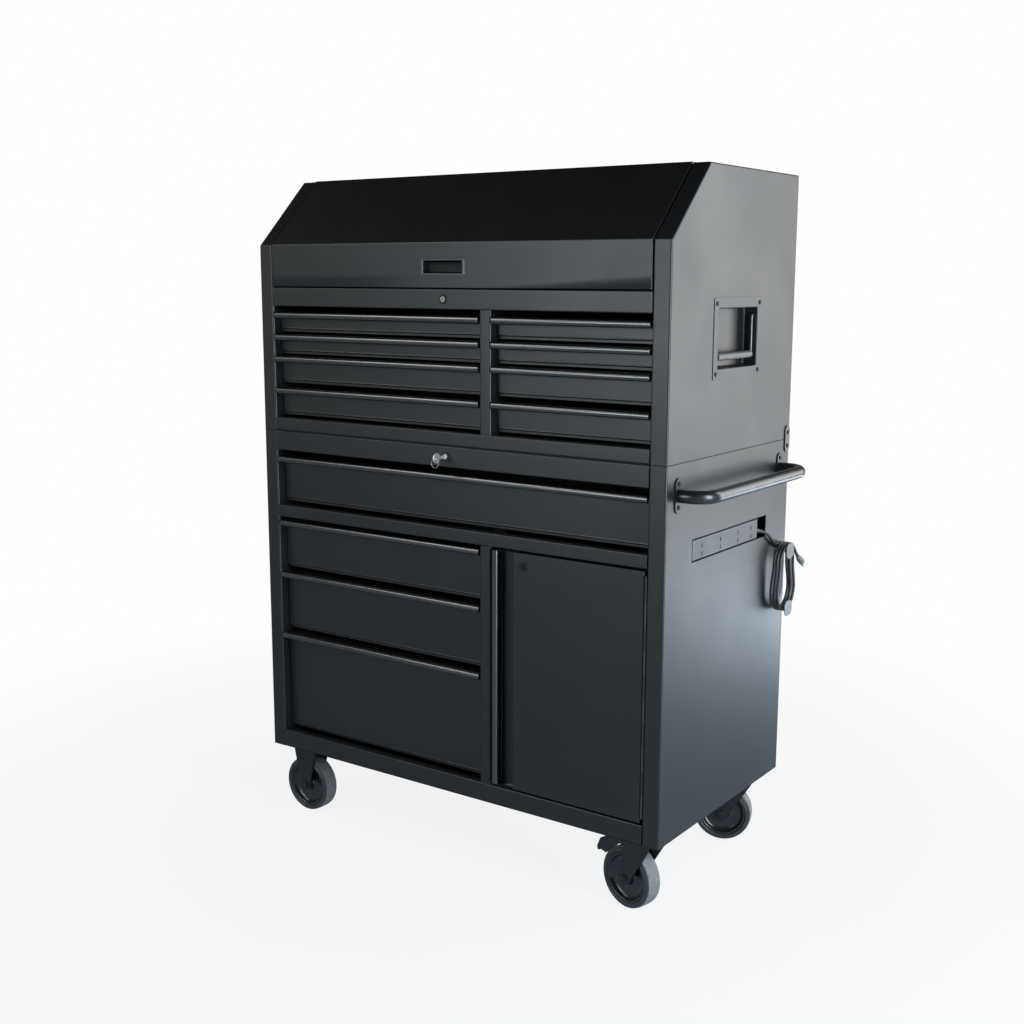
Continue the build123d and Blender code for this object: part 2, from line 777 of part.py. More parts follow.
# Pull cup, a moulded dish in the lid's front with a rim around its mouth
with BuildPart() as lid_pull_cup:
    block(cup_x, cup_y, cup_z)
    block((cup_x[0] - cup_rim_ends, cup_x[1] + cup_rim_ends), (cup_y[0] - cup_rim_height, cup_y[0]),
          (cup_z[0] - cup_rim_edges, cup_z[1] + cup_rim_edges))
    block((cup_x[0] + cup_wall, cup_x[1] - cup_wall), (cup_y[0] - cup_rim_height, cup_y[1] - cup_wall),
          (cup_z[0] + cup_wall, cup_z[1] - cup_wall), Mode.SUBTRACT)
    fillet(lid_pull_cup.faces().sort_by(Axis.Y)[0].outer_wire().edges(), radius=cup_rim_height / 2)
save("lid_pull_cup", lid_pull_cup.part)

# Gas struts. The tube's eye turns on the till floor's stud, and the rod's piston runs in it.
strut_bore = strut_tube_radius - strut_tube_wall
tube_start, tube_end = strut_end_offset, strut_end_offset + strut_tube_length
with BuildPart() as strut_tube:
    rod(along_strut(0), along_strut(tube_start), strut_neck_radius)
    rod(along_strut(tube_start), along_strut(tube_end), strut_tube_radius)
    rod(along_strut(0, strut_x - strut_eye_half), along_strut(0, strut_x + strut_eye_half), strut_eye_radius)
    rod(along_strut(tube_start + strut_cap), along_strut(tube_end - strut_cap), strut_bore, Mode.SUBTRACT)
    rod(along_strut(tube_start + strut_cap), along_strut(tube_end + overcut),
        strut_rod_radius + strut_stud_clearance, Mode.SUBTRACT)
    rod(along_strut(0, strut_x - 2 * strut_eye_half), along_strut(0, strut_x + 2 * strut_eye_half),
        strut_stud_radius + strut_stud_clearance, Mode.SUBTRACT)
save("gas_strut_tubes", strut_tube.part, mirrored(strut_tube.part))

with BuildPart() as strut_rod:
    rod(along_strut(strut_piston), along_strut(strut_length), strut_rod_radius)
    rod(along_strut(strut_piston), along_strut(strut_piston + strut_piston_length),
        strut_bore - strut_stud_clearance)
    rod(along_strut(strut_length, strut_x - strut_eye_half),
        along_strut(strut_length, strut_bracket_x - strut_head_gap), strut_eye_radius)
save("gas_strut_rods", strut_rod.part, mirrored(strut_rod.part))

# Door. A pan of folded sheet with a finger recess down its free edge, where its pull stands.
y_recess = y_front + front_recess
x_step = door_x[0] + door_recess_width
door_lock = (x_step + door_lock_inset, door_z[1] - door_lock_drop)
with BuildPart() as door_pan:
    block((x_step, door_x[1]), (y_front, y_front + sheet), door_z)
    block((x_step, x_step + sheet), (y_front, y_recess + sheet), door_z)
    block((door_x[0], x_step), (y_recess, y_recess + sheet), door_z)
    block((door_x[0], door_x[0] + sheet), (y_recess, y_recess + door_edge_flange), door_z)
    block((door_x[1] - sheet, door_x[1]), (y_front, y_front + door_depth), door_z)
    for z0 in (door_z[0], door_z[1] - sheet):
        block((x_step, door_x[1]), (y_front, y_front + door_depth), (z0, z0 + sheet))
        block((door_x[0], x_step), (y_front, y_recess + sheet), (z0, z0 + sheet))
    lock_hole(*door_lock)

door_pull_place = Plane(origin=(door_x[0], y_front, door_z[0] + sheet), x_dir=(0, 1, 0), z_dir=(0, 0, 1))
save("door_pull", pull_bar(door_pull_place, door_z[1] - door_z[0] - 2 * sheet))


# Locks. A housing with a bezel and a nut, a plug that turns in it with a cam behind, and one
# key with its ring.
def lock_housing(x, z):
    y_end = y_front + lock_body_length
    bore = lock_plug_radius + lock_plug_clearance
    with BuildPart() as housing:
        rod((x, y_front - lock_bezel_height, z), (x, y_front, z), lock_bezel_radius)
        rod((x, y_front, z), (x, y_end, z), lock_body_radius)
        rod((x, y_front - 2 * lock_bezel_height, z), (x, y_end + overcut, z), bore, Mode.SUBTRACT)
    with BuildPart() as nut:
        with BuildSketch(Plane(origin=(x, y_front + sheet, z), z_dir=(0, 1, 0))):
            RegularPolygon(lock_nut_apothem, 6, major_radius=False)
            Circle(lock_body_radius, mode=Mode.SUBTRACT)
        extrude(amount=lock_nut_height)
    return housing.part, nut.part


def lock_plug(x, z, reach, way):
    """A plug with its keyway, and a cam that reaches (x, z) * way at rest."""
    y_face = y_front - lock_bezel_height - lock_plug_proud
    y_end = y_front + lock_body_length + lock_cam_gap
    half = lock_plug_radius
    cam_x = sorted((x, x + reach * way[0])) if way[0] else (x - half, x + half)
    cam_z = sorted((z, z + reach * way[1])) if way[1] else (z - half, z + half)
    with BuildPart() as plug:
        rod((x, y_face, z), (x, y_end + lock_cam_sheet, z), lock_plug_radius)
        block(cam_x, (y_end, y_end + lock_cam_sheet), cam_z)
        half_width, half_height = key_sheet / 2 + key_clearance, key_blade_height / 2 + key_clearance
        block((x - half_width, x + half_width), (y_face - overcut, y_face + key_blade_length + key_clearance),
              (z - half_height, z + half_height), Mode.SUBTRACT)
    return plug.part


save("lock_housings", *lock_housing(*chest_lock), *lock_housing(*cabinet_lock))
save("door", door_pan.part, door_moving_leaf, *lock_housing(*door_lock))
save("chest_lock_plug", lock_plug(*chest_lock, lock_cam_reach, (0, -1)))
save("cabinet_lock_plug", lock_plug(*cabinet_lock, lock_cam_reach, (0, -1)))
save("door_lock_plug", lock_plug(*door_lock, door_cam_reach, (1, 0)))

x_key, z_key = cabinet_lock
y_key_face = y_front - lock_bezel_height - lock_plug_proud
y_bow = y_front - key_reach
with BuildPart() as key:
    block((x_key - key_sheet / 2, x_key + key_sheet / 2), (y_bow, y_key_face + key_blade_length),
          (z_key - key_blade_height / 2, z_key + key_blade_height / 2))
    rod((x_key - key_sheet / 2, y_bow, z_key), (x_key + key_sheet / 2, y_bow, z_key), key_bow_radius)
    y_hole = y_bow - key_bow_radius + key_hole_radius + key_hole_edge
    rod((x_key - key_sheet, y_hole, z_key), (x_key + key_sheet, y_hole, z_key), key_hole_radius,
        Mode.SUBTRACT)

with BuildPart() as key_ring:
    z_ring = z_key - key_hole_radius + key_ring_wire + key_ring_gap - key_ring_radius
    with Locations(Plane(origin=(x_key, y_hole, z_ring), z_dir=(0, 1, 0))):
        Torus(key_ring_radius, key_ring_wire)
save("cabinet_key", key.part, key_ring.part)

# Side handles. A dished tray in each side of the chest, and a bail that hangs in it.
tray_inside = x_right - tray_depth
mouth_y = (tray_y - tray_mouth_length / 2, tray_y + tray_mouth_length / 2)
mouth_z = (tray_z - tray_mouth_height / 2, tray_z + tray_mouth_height / 2)
x_bail = x_right - bail_setback
z_pivot = mouth_z[1] - bail_pivot_drop

with BuildPart() as tray:
    with BuildSketch(Plane.YZ.offset(x_right)):
        with Locations((tray_y, tray_z)):
            RectangleRounded(tray_length, tray_height, tray_corner)
    extrude(amount=tray_sheet)
    block((tray_inside, x_right), (mouth_y[0] - tray_sheet, mouth_y[1] + tray_sheet),
          (mouth_z[0] - tray_sheet, mouth_z[1] + tray_sheet))
    block((tray_inside + tray_sheet, x_right + 2 * tray_sheet), mouth_y, mouth_z, Mode.SUBTRACT)
    rod((x_bail, mouth_y[0] - 2 * tray_sheet, z_pivot), (x_bail, mouth_y[1] + 2 * tray_sheet, z_pivot),
        bail_rod_radius + bail_clearance, Mode.SUBTRACT)
    side_holes(tray_screws)
save("side_handle_trays", tray.part, mirrored(tray.part))

bail_y = (mouth_y[0] + bail_side_gap + bail_rod_radius, mouth_y[1] - bail_side_gap - bail_rod_radius)
with BuildPart() as bail:
    with BuildLine() as bail_path:
        FilletPolyline(
            (x_bail, mouth_y[0] - bail_pin_end, z_pivot), (x_bail, bail_y[0], z_pivot),
            (x_bail, bail_y[0], z_pivot - bail_length), (x_bail, bail_y[1], z_pivot - bail_length),
            (x_bail, bail_y[1], z_pivot), (x_bail, mouth_y[1] + bail_pin_end, z_pivot),
            radius=bail_bend)
    with BuildSketch(Plane(origin=bail_path.line @ 0, z_dir=bail_path.line % 0)):
        Circle(bail_rod_radius)
    sweep()

with BuildPart() as bail_grip:
    grip_y = (bail_y[0] + bail_grip_end, bail_y[1] - bail_grip_end)
    z_grip = z_pivot - bail_length
    rod((x_bail, grip_y[0], z_grip), (x_bail, grip_y[1], z_grip), bail_grip_radius)
    rod((x_bail, bail_y[0], z_grip), (x_bail, bail_y[1], z_grip), bail_rod_radius, Mode.SUBTRACT)
    fillet(bail_grip.edges().filter_by(GeomType.CIRCLE).group_by(SortBy.RADIUS)[-1], radius=bail_grip_round)
save("side_handle_right", bail.part, bail_grip.part)
save("side_handle_left", mirrored(bail.part), mirrored(bail_grip.part))

# Push handle. A bent tube welded to two oval flanges.
with BuildPart() as push_handle:
    with BuildLine() as handle_path:
        FilletPolyline(
            (x_right, handle_ends[0], z_handle), (x_right + handle_reach, handle_ends[0], z_handle),
            (x_right + handle_reach, handle_ends[1], z_handle), (x_right, handle_ends[1], z_handle),
            radius=handle_bend)
    with BuildSketch(Plane(origin=handle_path.line @ 0, z_dir=handle_path.line % 0)):
        Circle(handle_tube_radius)
        Circle(handle_tube_radius - handle_tube_wall, mode=Mode.SUBTRACT)
    sweep()
    with BuildSketch(Plane.YZ.offset(x_right)):
        with Locations(*[(y, z_handle) for y in handle_ends]):
            SlotOverall(flange_height, flange_width, rotation=90)
            Circle(handle_tube_radius - handle_tube_wall, mode=Mode.SUBTRACT)
        with Locations(*handle_screws):
            Circle(screw_shank_radius + screw_hole_clearance, mode=Mode.SUBTRACT)
    extrude(amount=flange_sheet)
save("push_handle", push_handle.part)

# Tie plates that hold the chest to the cabinet, at the back of each side
with BuildPart() as tie_plate:
    with BuildSketch(Plane.YZ.offset(x_right)):
        with Locations((y_tie, z_seam)):
            SlotOverall(tie_height, tie_width, rotation=90)
        with Locations(*tie_screws):
            Circle(screw_shank_radius + screw_hole_clearance, mode=Mode.SUBTRACT)
    extrude(amount=tie_sheet)
save("tie_plates", tie_plate.part, mirrored(tie_plate.part))


def pan_screw(x_seat, place):
    """A pan-head screw that goes in from the right."""
    y, z = place
    with BuildPart() as screw:
        rod((x_seat, y, z), (x_seat + screw_head_height, y, z), screw_head_radius)
        fillet(screw.edges().sort_by(Axis.X)[-1], radius=screw_head_round)
        rod((x_seat - screw_length, y, z), (x_seat, y, z), screw_shank_radius)
    return screw.part


tray_and_tie_screws = [pan_screw(x_right + tray_sheet, place) for place in tray_screws]
tray_and_tie_screws += [pan_screw(x_right + tie_sheet, place) for place in tie_screws]
panel_screws = [pan_screw(x_right + flange_sheet, place) for place in handle_screws] + tray_and_tie_screws
panel_screws += [mirrored(screw) for screw in tray_and_tie_screws]

# Power strip behind its slot in the right side, held by a lip against the wall's back
strip_x = (x_right - strip_face_inset - strip_depth, x_right - strip_face_inset)
strip_y = (slot_y[0] + strip_gap, slot_y[0] + strip_gap + strip_length)
strip_z = (slot_z[0] + strip_gap, slot_z[1] - strip_gap)


relief_start = (x_right - relief_inset, strip_y[1], z_slot - relief_drop)
relief_end = tuple(Vector(*relief_start) + Vector(*relief_reach))
with BuildPart() as strip:
    block(strip_x, strip_y, strip_z)
    block((x_right - sheet - strip_lip_sheet, x_right - sheet), strip_y,
          (strip_z[0] - strip_lip, strip_z[1] + strip_lip))
    for y in outlet_positions:
        for side in (-1, 1):
            z = z_slot - outlet_drop + side * outlet_slot_spacing / 2
            block((strip_x[1] - outlet_slot_depth, strip_x[1] + overcut),
                  (slot_y[0] + y - outlet_slot[0] / 2, slot_y[0] + y + outlet_slot[0] / 2),
                  (z - outlet_slot[1] / 2, z + outlet_slot[1] / 2), Mode.SUBTRACT)

with BuildPart() as relief:
    relief_way = Vector(*relief_end) - Vector(*relief_start)
    with BuildSketch(Plane(origin=relief_start, z_dir=relief_way)):
        Circle(relief_radius)
    with BuildSketch(Plane(origin=relief_end, z_dir=relief_way)):
        Circle(cord_diameter / 2 + relief_tip)
    loft()
    block((strip_x[0], strip_x[1] + relief_radius), (strip_y[1] - relief_radius, strip_y[1]),
          (strip_z[0], strip_z[1]), Mode.SUBTRACT)
save("power_strip", strip.part, relief.part)


# Cord hook. Two arms of folded sheet, each with a foot on the wall and a rounded ear
def hook_arm(z_arm, foot_side, ear_z):
    with BuildPart() as arm:
        block((x_right, x_right + hook_reach), (y_hook - hook_arm_width / 2, y_hook + hook_arm_width / 2),
              sorted((z_arm, z_arm + foot_side * hook_sheet)))
        block((x_right, x_right + hook_sheet), (y_hook - hook_arm_width / 2, y_hook + hook_arm_width / 2),
              sorted((z_arm, z_arm + foot_side * hook_foot_height)))
        with BuildSketch(Plane.YZ.offset(x_right + hook_reach)):
            with Locations((y_hook, ear_z)):
                RectangleRounded(hook_ear_width, hook_ear_height, hook_ear_corner)
        extrude(amount=hook_sheet)
    return arm.part


cord_radius = cord_diameter / 2
z_coil_top = z_seam - coil_top_drop
z_coil_bottom = z_coil_top - coil_height
z_arm_top = z_coil_top - cord_radius - hook_cord_drop
z_arm_bottom = z_coil_bottom + cord_radius + hook_cord_drop
save("cord_hook", hook_arm(z_arm_top, -1, z_arm_top - hook_ear_drop),
     hook_arm(z_arm_bottom, 1, z_arm_bottom - hook_lower_ear_drop))


# Power cord. The free lead runs from the strain relief to the coil on the hook.
def report_bends(name, points):
    """Print each bend's radius, from the shorter run beside it and the turn."""
    radii = []
    for a, b, c in zip(points, points[1:], points[2:]):
        first, second = Vector(*b) - Vector(*a), Vector(*c) - Vector(*b)
        turn = radians(first.get_angle(second))
        radii.append(bend_share * min(first.length, second.length) / tan(turn / 2))
    print(name, "bend radii", [round(r, 1) for r in radii])
    return radii


def cord_point(x, y, z):
    """A point of the cord's route, out from the right side, in from the back and down from the seam."""
    return (x_right + x, y_back - y, z_seam - z)


lead_route = [
    relief_end,
    tuple(Vector(*relief_end) + relief_way.normalized() * lead_first_run),
    cord_point(6.6, 120.4, 217.6),
    cord_point(8.4, 109.4, 225.4),
    cord_point(8.2, 98.4, 234.2),
    cord_point(7.2, 86.2, 242.8),
    cord_point(6.2, 74.0, 249.2),
    cord_point(5.5, 62.0, 252.0),
    cord_point(5.5, 50.5, 252.0),
]
with BuildPart() as power_cord_lead:
    with BuildLine() as lead_path:
        FilletPolyline(*lead_route, radius=report_bends("lead", lead_route))
    with BuildSketch(Plane(origin=lead_path.line @ 0, z_dir=lead_path.line % 0)):
        Circle(cord_radius)
    sweep()
save("power_cord_lead", power_cord_lead.part)
lead_length = sum(edge.length for edge in lead_path.edges())
print("lead length", round(lead_length, 1), "volume over section and length",
      round(power_cord_lead.part.volume / (pi * cord_radius**2 * lead_length), 4))

# The coil goes over the upper arm, down behind, under the lower arm and up in front. Each
# run between two half turns is a shallow S that takes it half a pitch further out.
y_coil = y_back - coil_inset
coil_run_count = 2 * coil_turns
coil_edges = []


def coil_side(k):
    """Where run k starts and ends: even runs go down behind, odd runs go up in front."""
    way = 1 if k % 2 == 0 else -1
    x0 = x_right + coil_start + k * coil_pitch / 2
    radius_start, radius_end = coil_radii[k], coil_radii[k + 1]
    z_start = z_coil_top - radius_start if way == 1 else z_coil_bottom + radius_start
    z_end = z_coil_bottom + radius_end if way == 1 else z_coil_top - radius_end
    start = (x0, y_coil + way * radius_start, z_start)
    end = (x0 + coil_pitch / 2, y_coil + way * radius_end, z_end)
    return start, end, way


coil_entry = Vector(*lead_route[-1])
tail_points = [cord_point(34.5, 15.0, 273.0), cord_point(37.0, 9.2, 284.4)]
with BuildPart() as power_cord_coil:
    with BuildLine() as coil_path:
        top = Vector(x_right + coil_start, y_coil, z_coil_top)
        Line(coil_entry, top)
        before, heading = top, Vector(0, 1, 0)
        for k in range(coil_run_count):
            start, end, way = coil_side(k)
            start, end, upright = Vector(*start), Vector(*end), Vector(0, 0, -way)
            TangentArc(before, start, tangent=heading)
            middle = (start + end) * 0.5
            bend = TangentArc(start, middle, tangent=upright)
            TangentArc(middle, end, tangent=bend % 1)
            before, heading = end, upright
        top = Vector(before.X, y_coil, z_coil_top)
        TangentArc(before, top, tangent=heading)
        tail_start = top + Vector(0, tail_start_straight, 0)
        Line(top, tail_start)
        before, heading = tail_start, Vector(0, 1, 0)
        for point in tail_points:
            bend = TangentArc(before, point, tangent=heading)
            before, heading = Vector(*point), bend % 1
        plug_start = before + heading * cord_diameter
        Line(before, plug_start)
    with BuildSketch(Plane(origin=coil_path.line @ 0, z_dir=coil_path.line % 0)):
        Circle(cord_radius)
    sweep()
save("power_cord_coil", power_cord_coil.part)

coil_length = sum(edge.length for edge in coil_path.edges())
coil_points = []
for edge in coil_path.edges():
    steps = ceil(edge.length)
    coil_points += [tuple(edge @ (i / steps)) for i in range(steps)]
skip = int(3 * cord_diameter)
least = min(dist(p, q) for i, p in enumerate(coil_points) for q in coil_points[i + skip::2])
print("coil length", round(coil_length, 1), "least gap to itself", round(least - cord_diameter, 2),
      "wanted over", coil_least_gap)
print("coil volume over section and length",
      round(power_cord_coil.part.volume / (pi * cord_radius**2 * coil_length), 4))

# Plug on the cord's end, with two blades and a ground pin
plug_place = Plane(origin=plug_start, z_dir=heading)
with BuildPart() as power_plug:
    with BuildSketch(plug_place):
        Circle(plug_neck_radius)
    with BuildSketch(plug_place.offset(plug_neck_length)):
        Circle(plug_radius)
    loft()
    with BuildSketch(plug_place.offset(plug_neck_length)):
        Circle(plug_radius)
    extrude(amount=plug_body_length - plug_neck_length)
    with BuildSketch(plug_place.offset(plug_body_length)):
        with Locations((-prong_spacing / 2, 0), (prong_spacing / 2, 0)):
            Rectangle(*prong_size)
        with Locations((0, plug_radius - 2 * ground_prong_radius)):
            Circle(ground_prong_radius)
    extrude(amount=prong_length)
save("power_plug", power_plug.part)

# Casters. Each is built round its own upright axis at 0, 0, then put in its place.
z_plate = (z_cabinet - plate_sheet, z_cabinet)
leg_inside = wheel_width / 2 + fork_side_gap
leg_outside = leg_inside + fork_sheet
z_axle = wheel_radius


def at_caster(piece, x, y, angle=0.0):
    return piece.moved(Location((x, y, 0), (0, 0, angle)))


def caster_plate():
    block((-plate_length / 2, plate_length / 2), (-plate_width / 2, plate_width / 2), z_plate)


def bolt_holes():
    for x, y in bolt_places:
        rod((x, y, z_plate[0] - overcut), (x, y, z_plate[1] + overcut), bolt_hole_radius, Mode.SUBTRACT)


def fork_legs(x_axle, z_crown):
    """Two tapered legs under a crown, with the axle's holes in their round feet."""
    half = fork_top_width / 2
    turn = radians(fork_foot_turn)
    front_of_foot = (x_axle + fork_foot_radius * cos(turn), z_axle - fork_foot_radius * sin(turn))
    with BuildPart() as legs:
        block((-half, half), (-leg_outside, leg_outside), (z_crown - fork_sheet, z_crown))
        for side in (-1, 1):
            with BuildSketch(Plane.XZ.offset(side * leg_inside)):
                with BuildLine():
                    Polyline((-half, z_crown), (half, z_crown), (half, z_crown - leg_top_depth),
                             front_of_foot, (x_axle - fork_foot_radius, z_axle),
                             (-half, z_crown - leg_top_depth), close=True)
                make_face()
                with Locations((x_axle, z_axle)):
                    Circle(fork_foot_radius)
            extrude(amount=side * fork_sheet)
        rod((x_axle, -2 * leg_outside, z_axle), (x_axle, 2 * leg_outside, z_axle), axle_radius, Mode.SUBTRACT)
    return legs.part


def axle(x_axle):
    with BuildPart() as bolt:
        rod((x_axle, -leg_outside, z_axle), (x_axle, leg_outside, z_axle), axle_radius)
        for side in (-1, 1):
            y_head = side * (leg_outside + axle_head_height)
            rod((x_axle, side * leg_outside, z_axle), (x_axle, y_head, z_axle), axle_head_radius)
    return bolt.part


def wheel(x_axle):
    """The tyre and the core, on an axle along Y."""
    along = Plane(origin=(x_axle, -wheel_width / 2, z_axle), z_dir=(0, 1, 0))
    with BuildPart() as tyre:
        with Locations(along):
            Cylinder(wheel_radius, wheel_width, align=(Align.CENTER, Align.CENTER, Align.MIN))
        fillet(tyre.edges().filter_by(GeomType.CIRCLE), radius=tyre_round)
        rod((x_axle, -wheel_width, z_axle), (x_axle, wheel_width, z_axle), wheel_radius - tyre_thickness,
            Mode.SUBTRACT)
    with BuildPart() as core:
        rod((x_axle, -core_width / 2, z_axle), (x_axle, core_width / 2, z_axle),
            wheel_radius - tyre_thickness)
        for side in (-1, 1):
            with BuildSketch(Plane(origin=(x_axle, side * core_width / 2, z_axle), z_dir=(0, side, 0))):
                Circle(core_recess_radii[1])
                Circle(core_recess_radii[0], mode=Mode.SUBTRACT)
            extrude(amount=-core_recess_depth, mode=Mode.SUBTRACT)
        rod((x_axle, -hub_width / 2, z_axle), (x_axle, hub_width / 2, z_axle), hub_radius)
        rod((x_axle, -wheel_width, z_axle), (x_axle, wheel_width, z_axle), axle_radius + axle_clearance,
            Mode.SUBTRACT)
    return Compound(children=[tyre.part, core.part])


with BuildPart() as rigid_fork:
    caster_plate()
    add(fork_legs(0, z_plate[0]))
    bolt_holes()
rigid_pieces = [at_caster(piece, x_rigid, y) for y in caster_y for piece in (rigid_fork.part, axle(0))]
save("rigid_caster_forks", *rigid_pieces)

# The swivel's two raceways run close to each other, round the fork's kingpin
z_crown = z_plate[0] - raceway_height
z_race_gap = z_crown + raceway_height / 2
with BuildPart() as swivel_plate:
    caster_plate()
    rod((0, 0, z_race_gap + raceway_gap / 2), (0, 0, z_plate[0]), raceway_radius)
    rod((0, 0, z_crown), (0, 0, z_plate[1] + overcut), kingpin_radius + kingpin_clearance, Mode.SUBTRACT)
    bolt_holes()
save("swivel_caster_plates", *[at_caster(swivel_plate.part, x_swivel, y) for y in caster_y])

ear_y = (pedal_width / 2 + pedal_ear_gap, pedal_width / 2 + pedal_ear_gap + pedal_ear_sheet)
x_pedal = -caster_trail - pedal_pin_back
z_pedal = 2 * wheel_radius + pedal_pin_rise
ear_x = (x_pedal - 2 * pedal_pin_radius, -fork_top_width / 2 + crown_round)
with BuildPart() as swivel_fork:
    add(fork_legs(-caster_trail, z_crown))
    rod((0, 0, z_crown), (0, 0, z_race_gap - raceway_gap / 2), raceway_radius - raceway_gap)
    rod((0, 0, z_crown - fork_sheet), (0, 0, z_plate[1] - kingpin_top_gap), kingpin_radius)
    for side in (-1, 1):
        block(ear_x, sorted((side * ear_y[0], side * ear_y[1])), (z_pedal - 2 * pedal_pin_radius, z_crown))
with BuildPart() as pedal_pin_rod:
    rod((x_pedal, -ear_y[1], z_pedal), (x_pedal, ear_y[1], z_pedal), pedal_pin_radius)
with BuildPart() as swivel_fork_bored:
    add(swivel_fork.part)
    rod((x_pedal, -ear_y[1] - overcut, z_pedal), (x_pedal, ear_y[1] + overcut, z_pedal), pedal_pin_radius,
        Mode.SUBTRACT)

# Brake pedal. It hangs over the tyre on the fork's pin and its outer end turns down.
def over_tyre(angle, height):
    """A point round the axle, at a height over the tyre."""
    radius = wheel_radius + height
    return (-caster_trail + radius * cos(radians(angle)), z_axle + radius * sin(radians(angle)))


pedal_points = [over_tyre(angle, height) for angle, height in pedal_outline]
pedal_points += [over_tyre(angle, pedal_tyre_gap) for angle in pedal_tyre_angles]
with BuildPart() as brake_pedal:
    with BuildSketch(Plane.XZ):
        with BuildLine():
            Polyline(*pedal_points, close=True)
        make_face()
    extrude(amount=pedal_width / 2, both=True)
    rod((x_pedal, -pedal_width, z_pedal), (x_pedal, pedal_width, z_pedal), pedal_pin_radius + axle_clearance,
        Mode.SUBTRACT)

swivel_pieces = [swivel_fork_bored.part, pedal_pin_rod.part, axle(-caster_trail)]
for place, y, angle in zip(("front", "rear"), caster_y, (swivel_front_angle, swivel_rear_angle)):
    save(f"swivel_fork_{place}", *[at_caster(piece, x_swivel, y, angle) for piece in swivel_pieces])
    save(f"brake_pedal_{place}", at_caster(brake_pedal.part, x_swivel, y, angle))
    save(f"wheel_{place}_right", at_caster(wheel(-caster_trail), x_swivel, y, angle))
    save(f"wheel_{place}_left", at_caster(wheel(0), x_rigid, y))

# Screws, and the bolts that hold the casters to the cabinet's floor
with BuildPart() as caster_bolt:
    rod((0, 0, z_plate[0] - bolt_head_height), (0, 0, z_plate[0]), bolt_head_radius)
    rod((0, 0, z_plate[0]), (0, 0, z_plate[1] + bolt_end), bolt_shank_radius)
caster_bolts = [caster_bolt.part.moved(Location((x, y, 0))) for x, y in caster_bolt_places]
save("fasteners", *panel_screws, *caster_bolts)

print("strut length", round(strut_length, 2), "angle", round(degrees(strut_angle), 2))
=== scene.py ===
from math import radians

import bmesh
import bpy
import numpy as np
from mathutils import Matrix


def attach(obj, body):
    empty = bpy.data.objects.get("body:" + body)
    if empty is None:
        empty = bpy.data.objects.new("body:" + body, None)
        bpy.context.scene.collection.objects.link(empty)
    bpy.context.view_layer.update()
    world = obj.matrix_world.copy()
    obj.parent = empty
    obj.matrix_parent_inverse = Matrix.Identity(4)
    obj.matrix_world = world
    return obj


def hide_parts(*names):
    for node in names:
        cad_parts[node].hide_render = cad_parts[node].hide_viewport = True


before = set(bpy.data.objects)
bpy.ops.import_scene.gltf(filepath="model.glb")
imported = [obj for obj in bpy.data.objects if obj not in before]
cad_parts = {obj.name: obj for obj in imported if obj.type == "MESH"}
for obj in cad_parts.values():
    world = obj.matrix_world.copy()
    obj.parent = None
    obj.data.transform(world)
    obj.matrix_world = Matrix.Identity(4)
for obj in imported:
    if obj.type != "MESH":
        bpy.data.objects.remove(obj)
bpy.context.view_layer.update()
scene = bpy.context.scene
scene.view_settings.view_transform = "Standard"

# Camera. It stands to the right of the tool chest at the height of its lock rail and looks a
# little down, as in the photograph.
camera = bpy.data.objects.new("camera", bpy.data.cameras.new("camera"))
scene.collection.objects.link(camera)
scene.camera = camera
camera.data.sensor_width = 36.0
camera.data.lens = 46.48
yaw, pitch, roll = radians(35.214), radians(-10.052), radians(0.157)
aim = (Matrix.Rotation(yaw, 4, "Z") @ Matrix.Rotation(radians(90) + pitch, 4, "X")
       @ Matrix.Rotation(roll, 4, "Z"))
camera_place = (1.84325, -2.6810, 1.4136)
camera.matrix_world = Matrix.Translation(camera_place) @ aim


# Cord. A round black rubber-sheathed mains lead, moulded into the strip's end. It is wound
# three times over the two arms of the hook, and its end hangs over the upper arm.
def finish(name, colour, rough, metallic=0.0, level=0.5, tone=0.12, patch=0.15, spread=0.06,
           grain=0.0008, rise=0.00002, ior=1.5):
    """A finish on Object coordinates: broad noise moves its colour and roughness, and fine noise raises
    its grain."""
    material = bpy.data.materials.new(name)
    material.use_nodes = True
    tree = material.node_tree
    shader = tree.nodes["Principled BSDF"]
    shader.inputs["Metallic"].default_value = metallic
    shader.inputs["Specular IOR Level"].default_value = level
    shader.inputs["IOR"].default_value = ior

    def node(kind, **values):
        made = tree.nodes.new("ShaderNode" + kind)
        for key, value in values.items():
            if key[0].isupper():
                made.inputs[key.replace("_", " ")].default_value = value
            else:
                setattr(made, key, value)
        return made

    place = node("TexCoord")
    cloud = node("TexNoise", Scale=1 / patch, Detail=5.0)
    smudge = node("TexNoise", Scale=2.7 / patch, Detail=6.0, Distortion=0.6)
    fine = node("TexNoise", Scale=1 / grain, Detail=2.0)
    for noise in (cloud, smudge, fine):
        tree.links.new(place.outputs["Object"], noise.inputs["Vector"])
    blend = node("Mix", data_type="RGBA")
    dark, light = [tuple(min(1.0, c * share) for c in colour) + (1.0,) for share in (1 - tone, 1 + tone)]
    blend.inputs[6].default_value, blend.inputs[7].default_value = dark, light
    tree.links.new(cloud.outputs["Fac"], blend.inputs[0])
    tree.links.new(blend.outputs[2], shader.inputs["Base Color"])
    gloss = node("MapRange", From_Min=0.3, From_Max=0.7, To_Min=rough - spread, To_Max=rough + spread)
    tree.links.new(smudge.outputs["Fac"], gloss.inputs["Value"])
    tree.links.new(gloss.outputs["Result"], shader.inputs["Roughness"])
    bump = node("Bump", Strength=1.0, Distance=rise)
    tree.links.new(fine.outputs["Fac"], bump.inputs["Height"])
    tree.links.new(bump.outputs["Normal"], shader.inputs["Normal"])
    return material


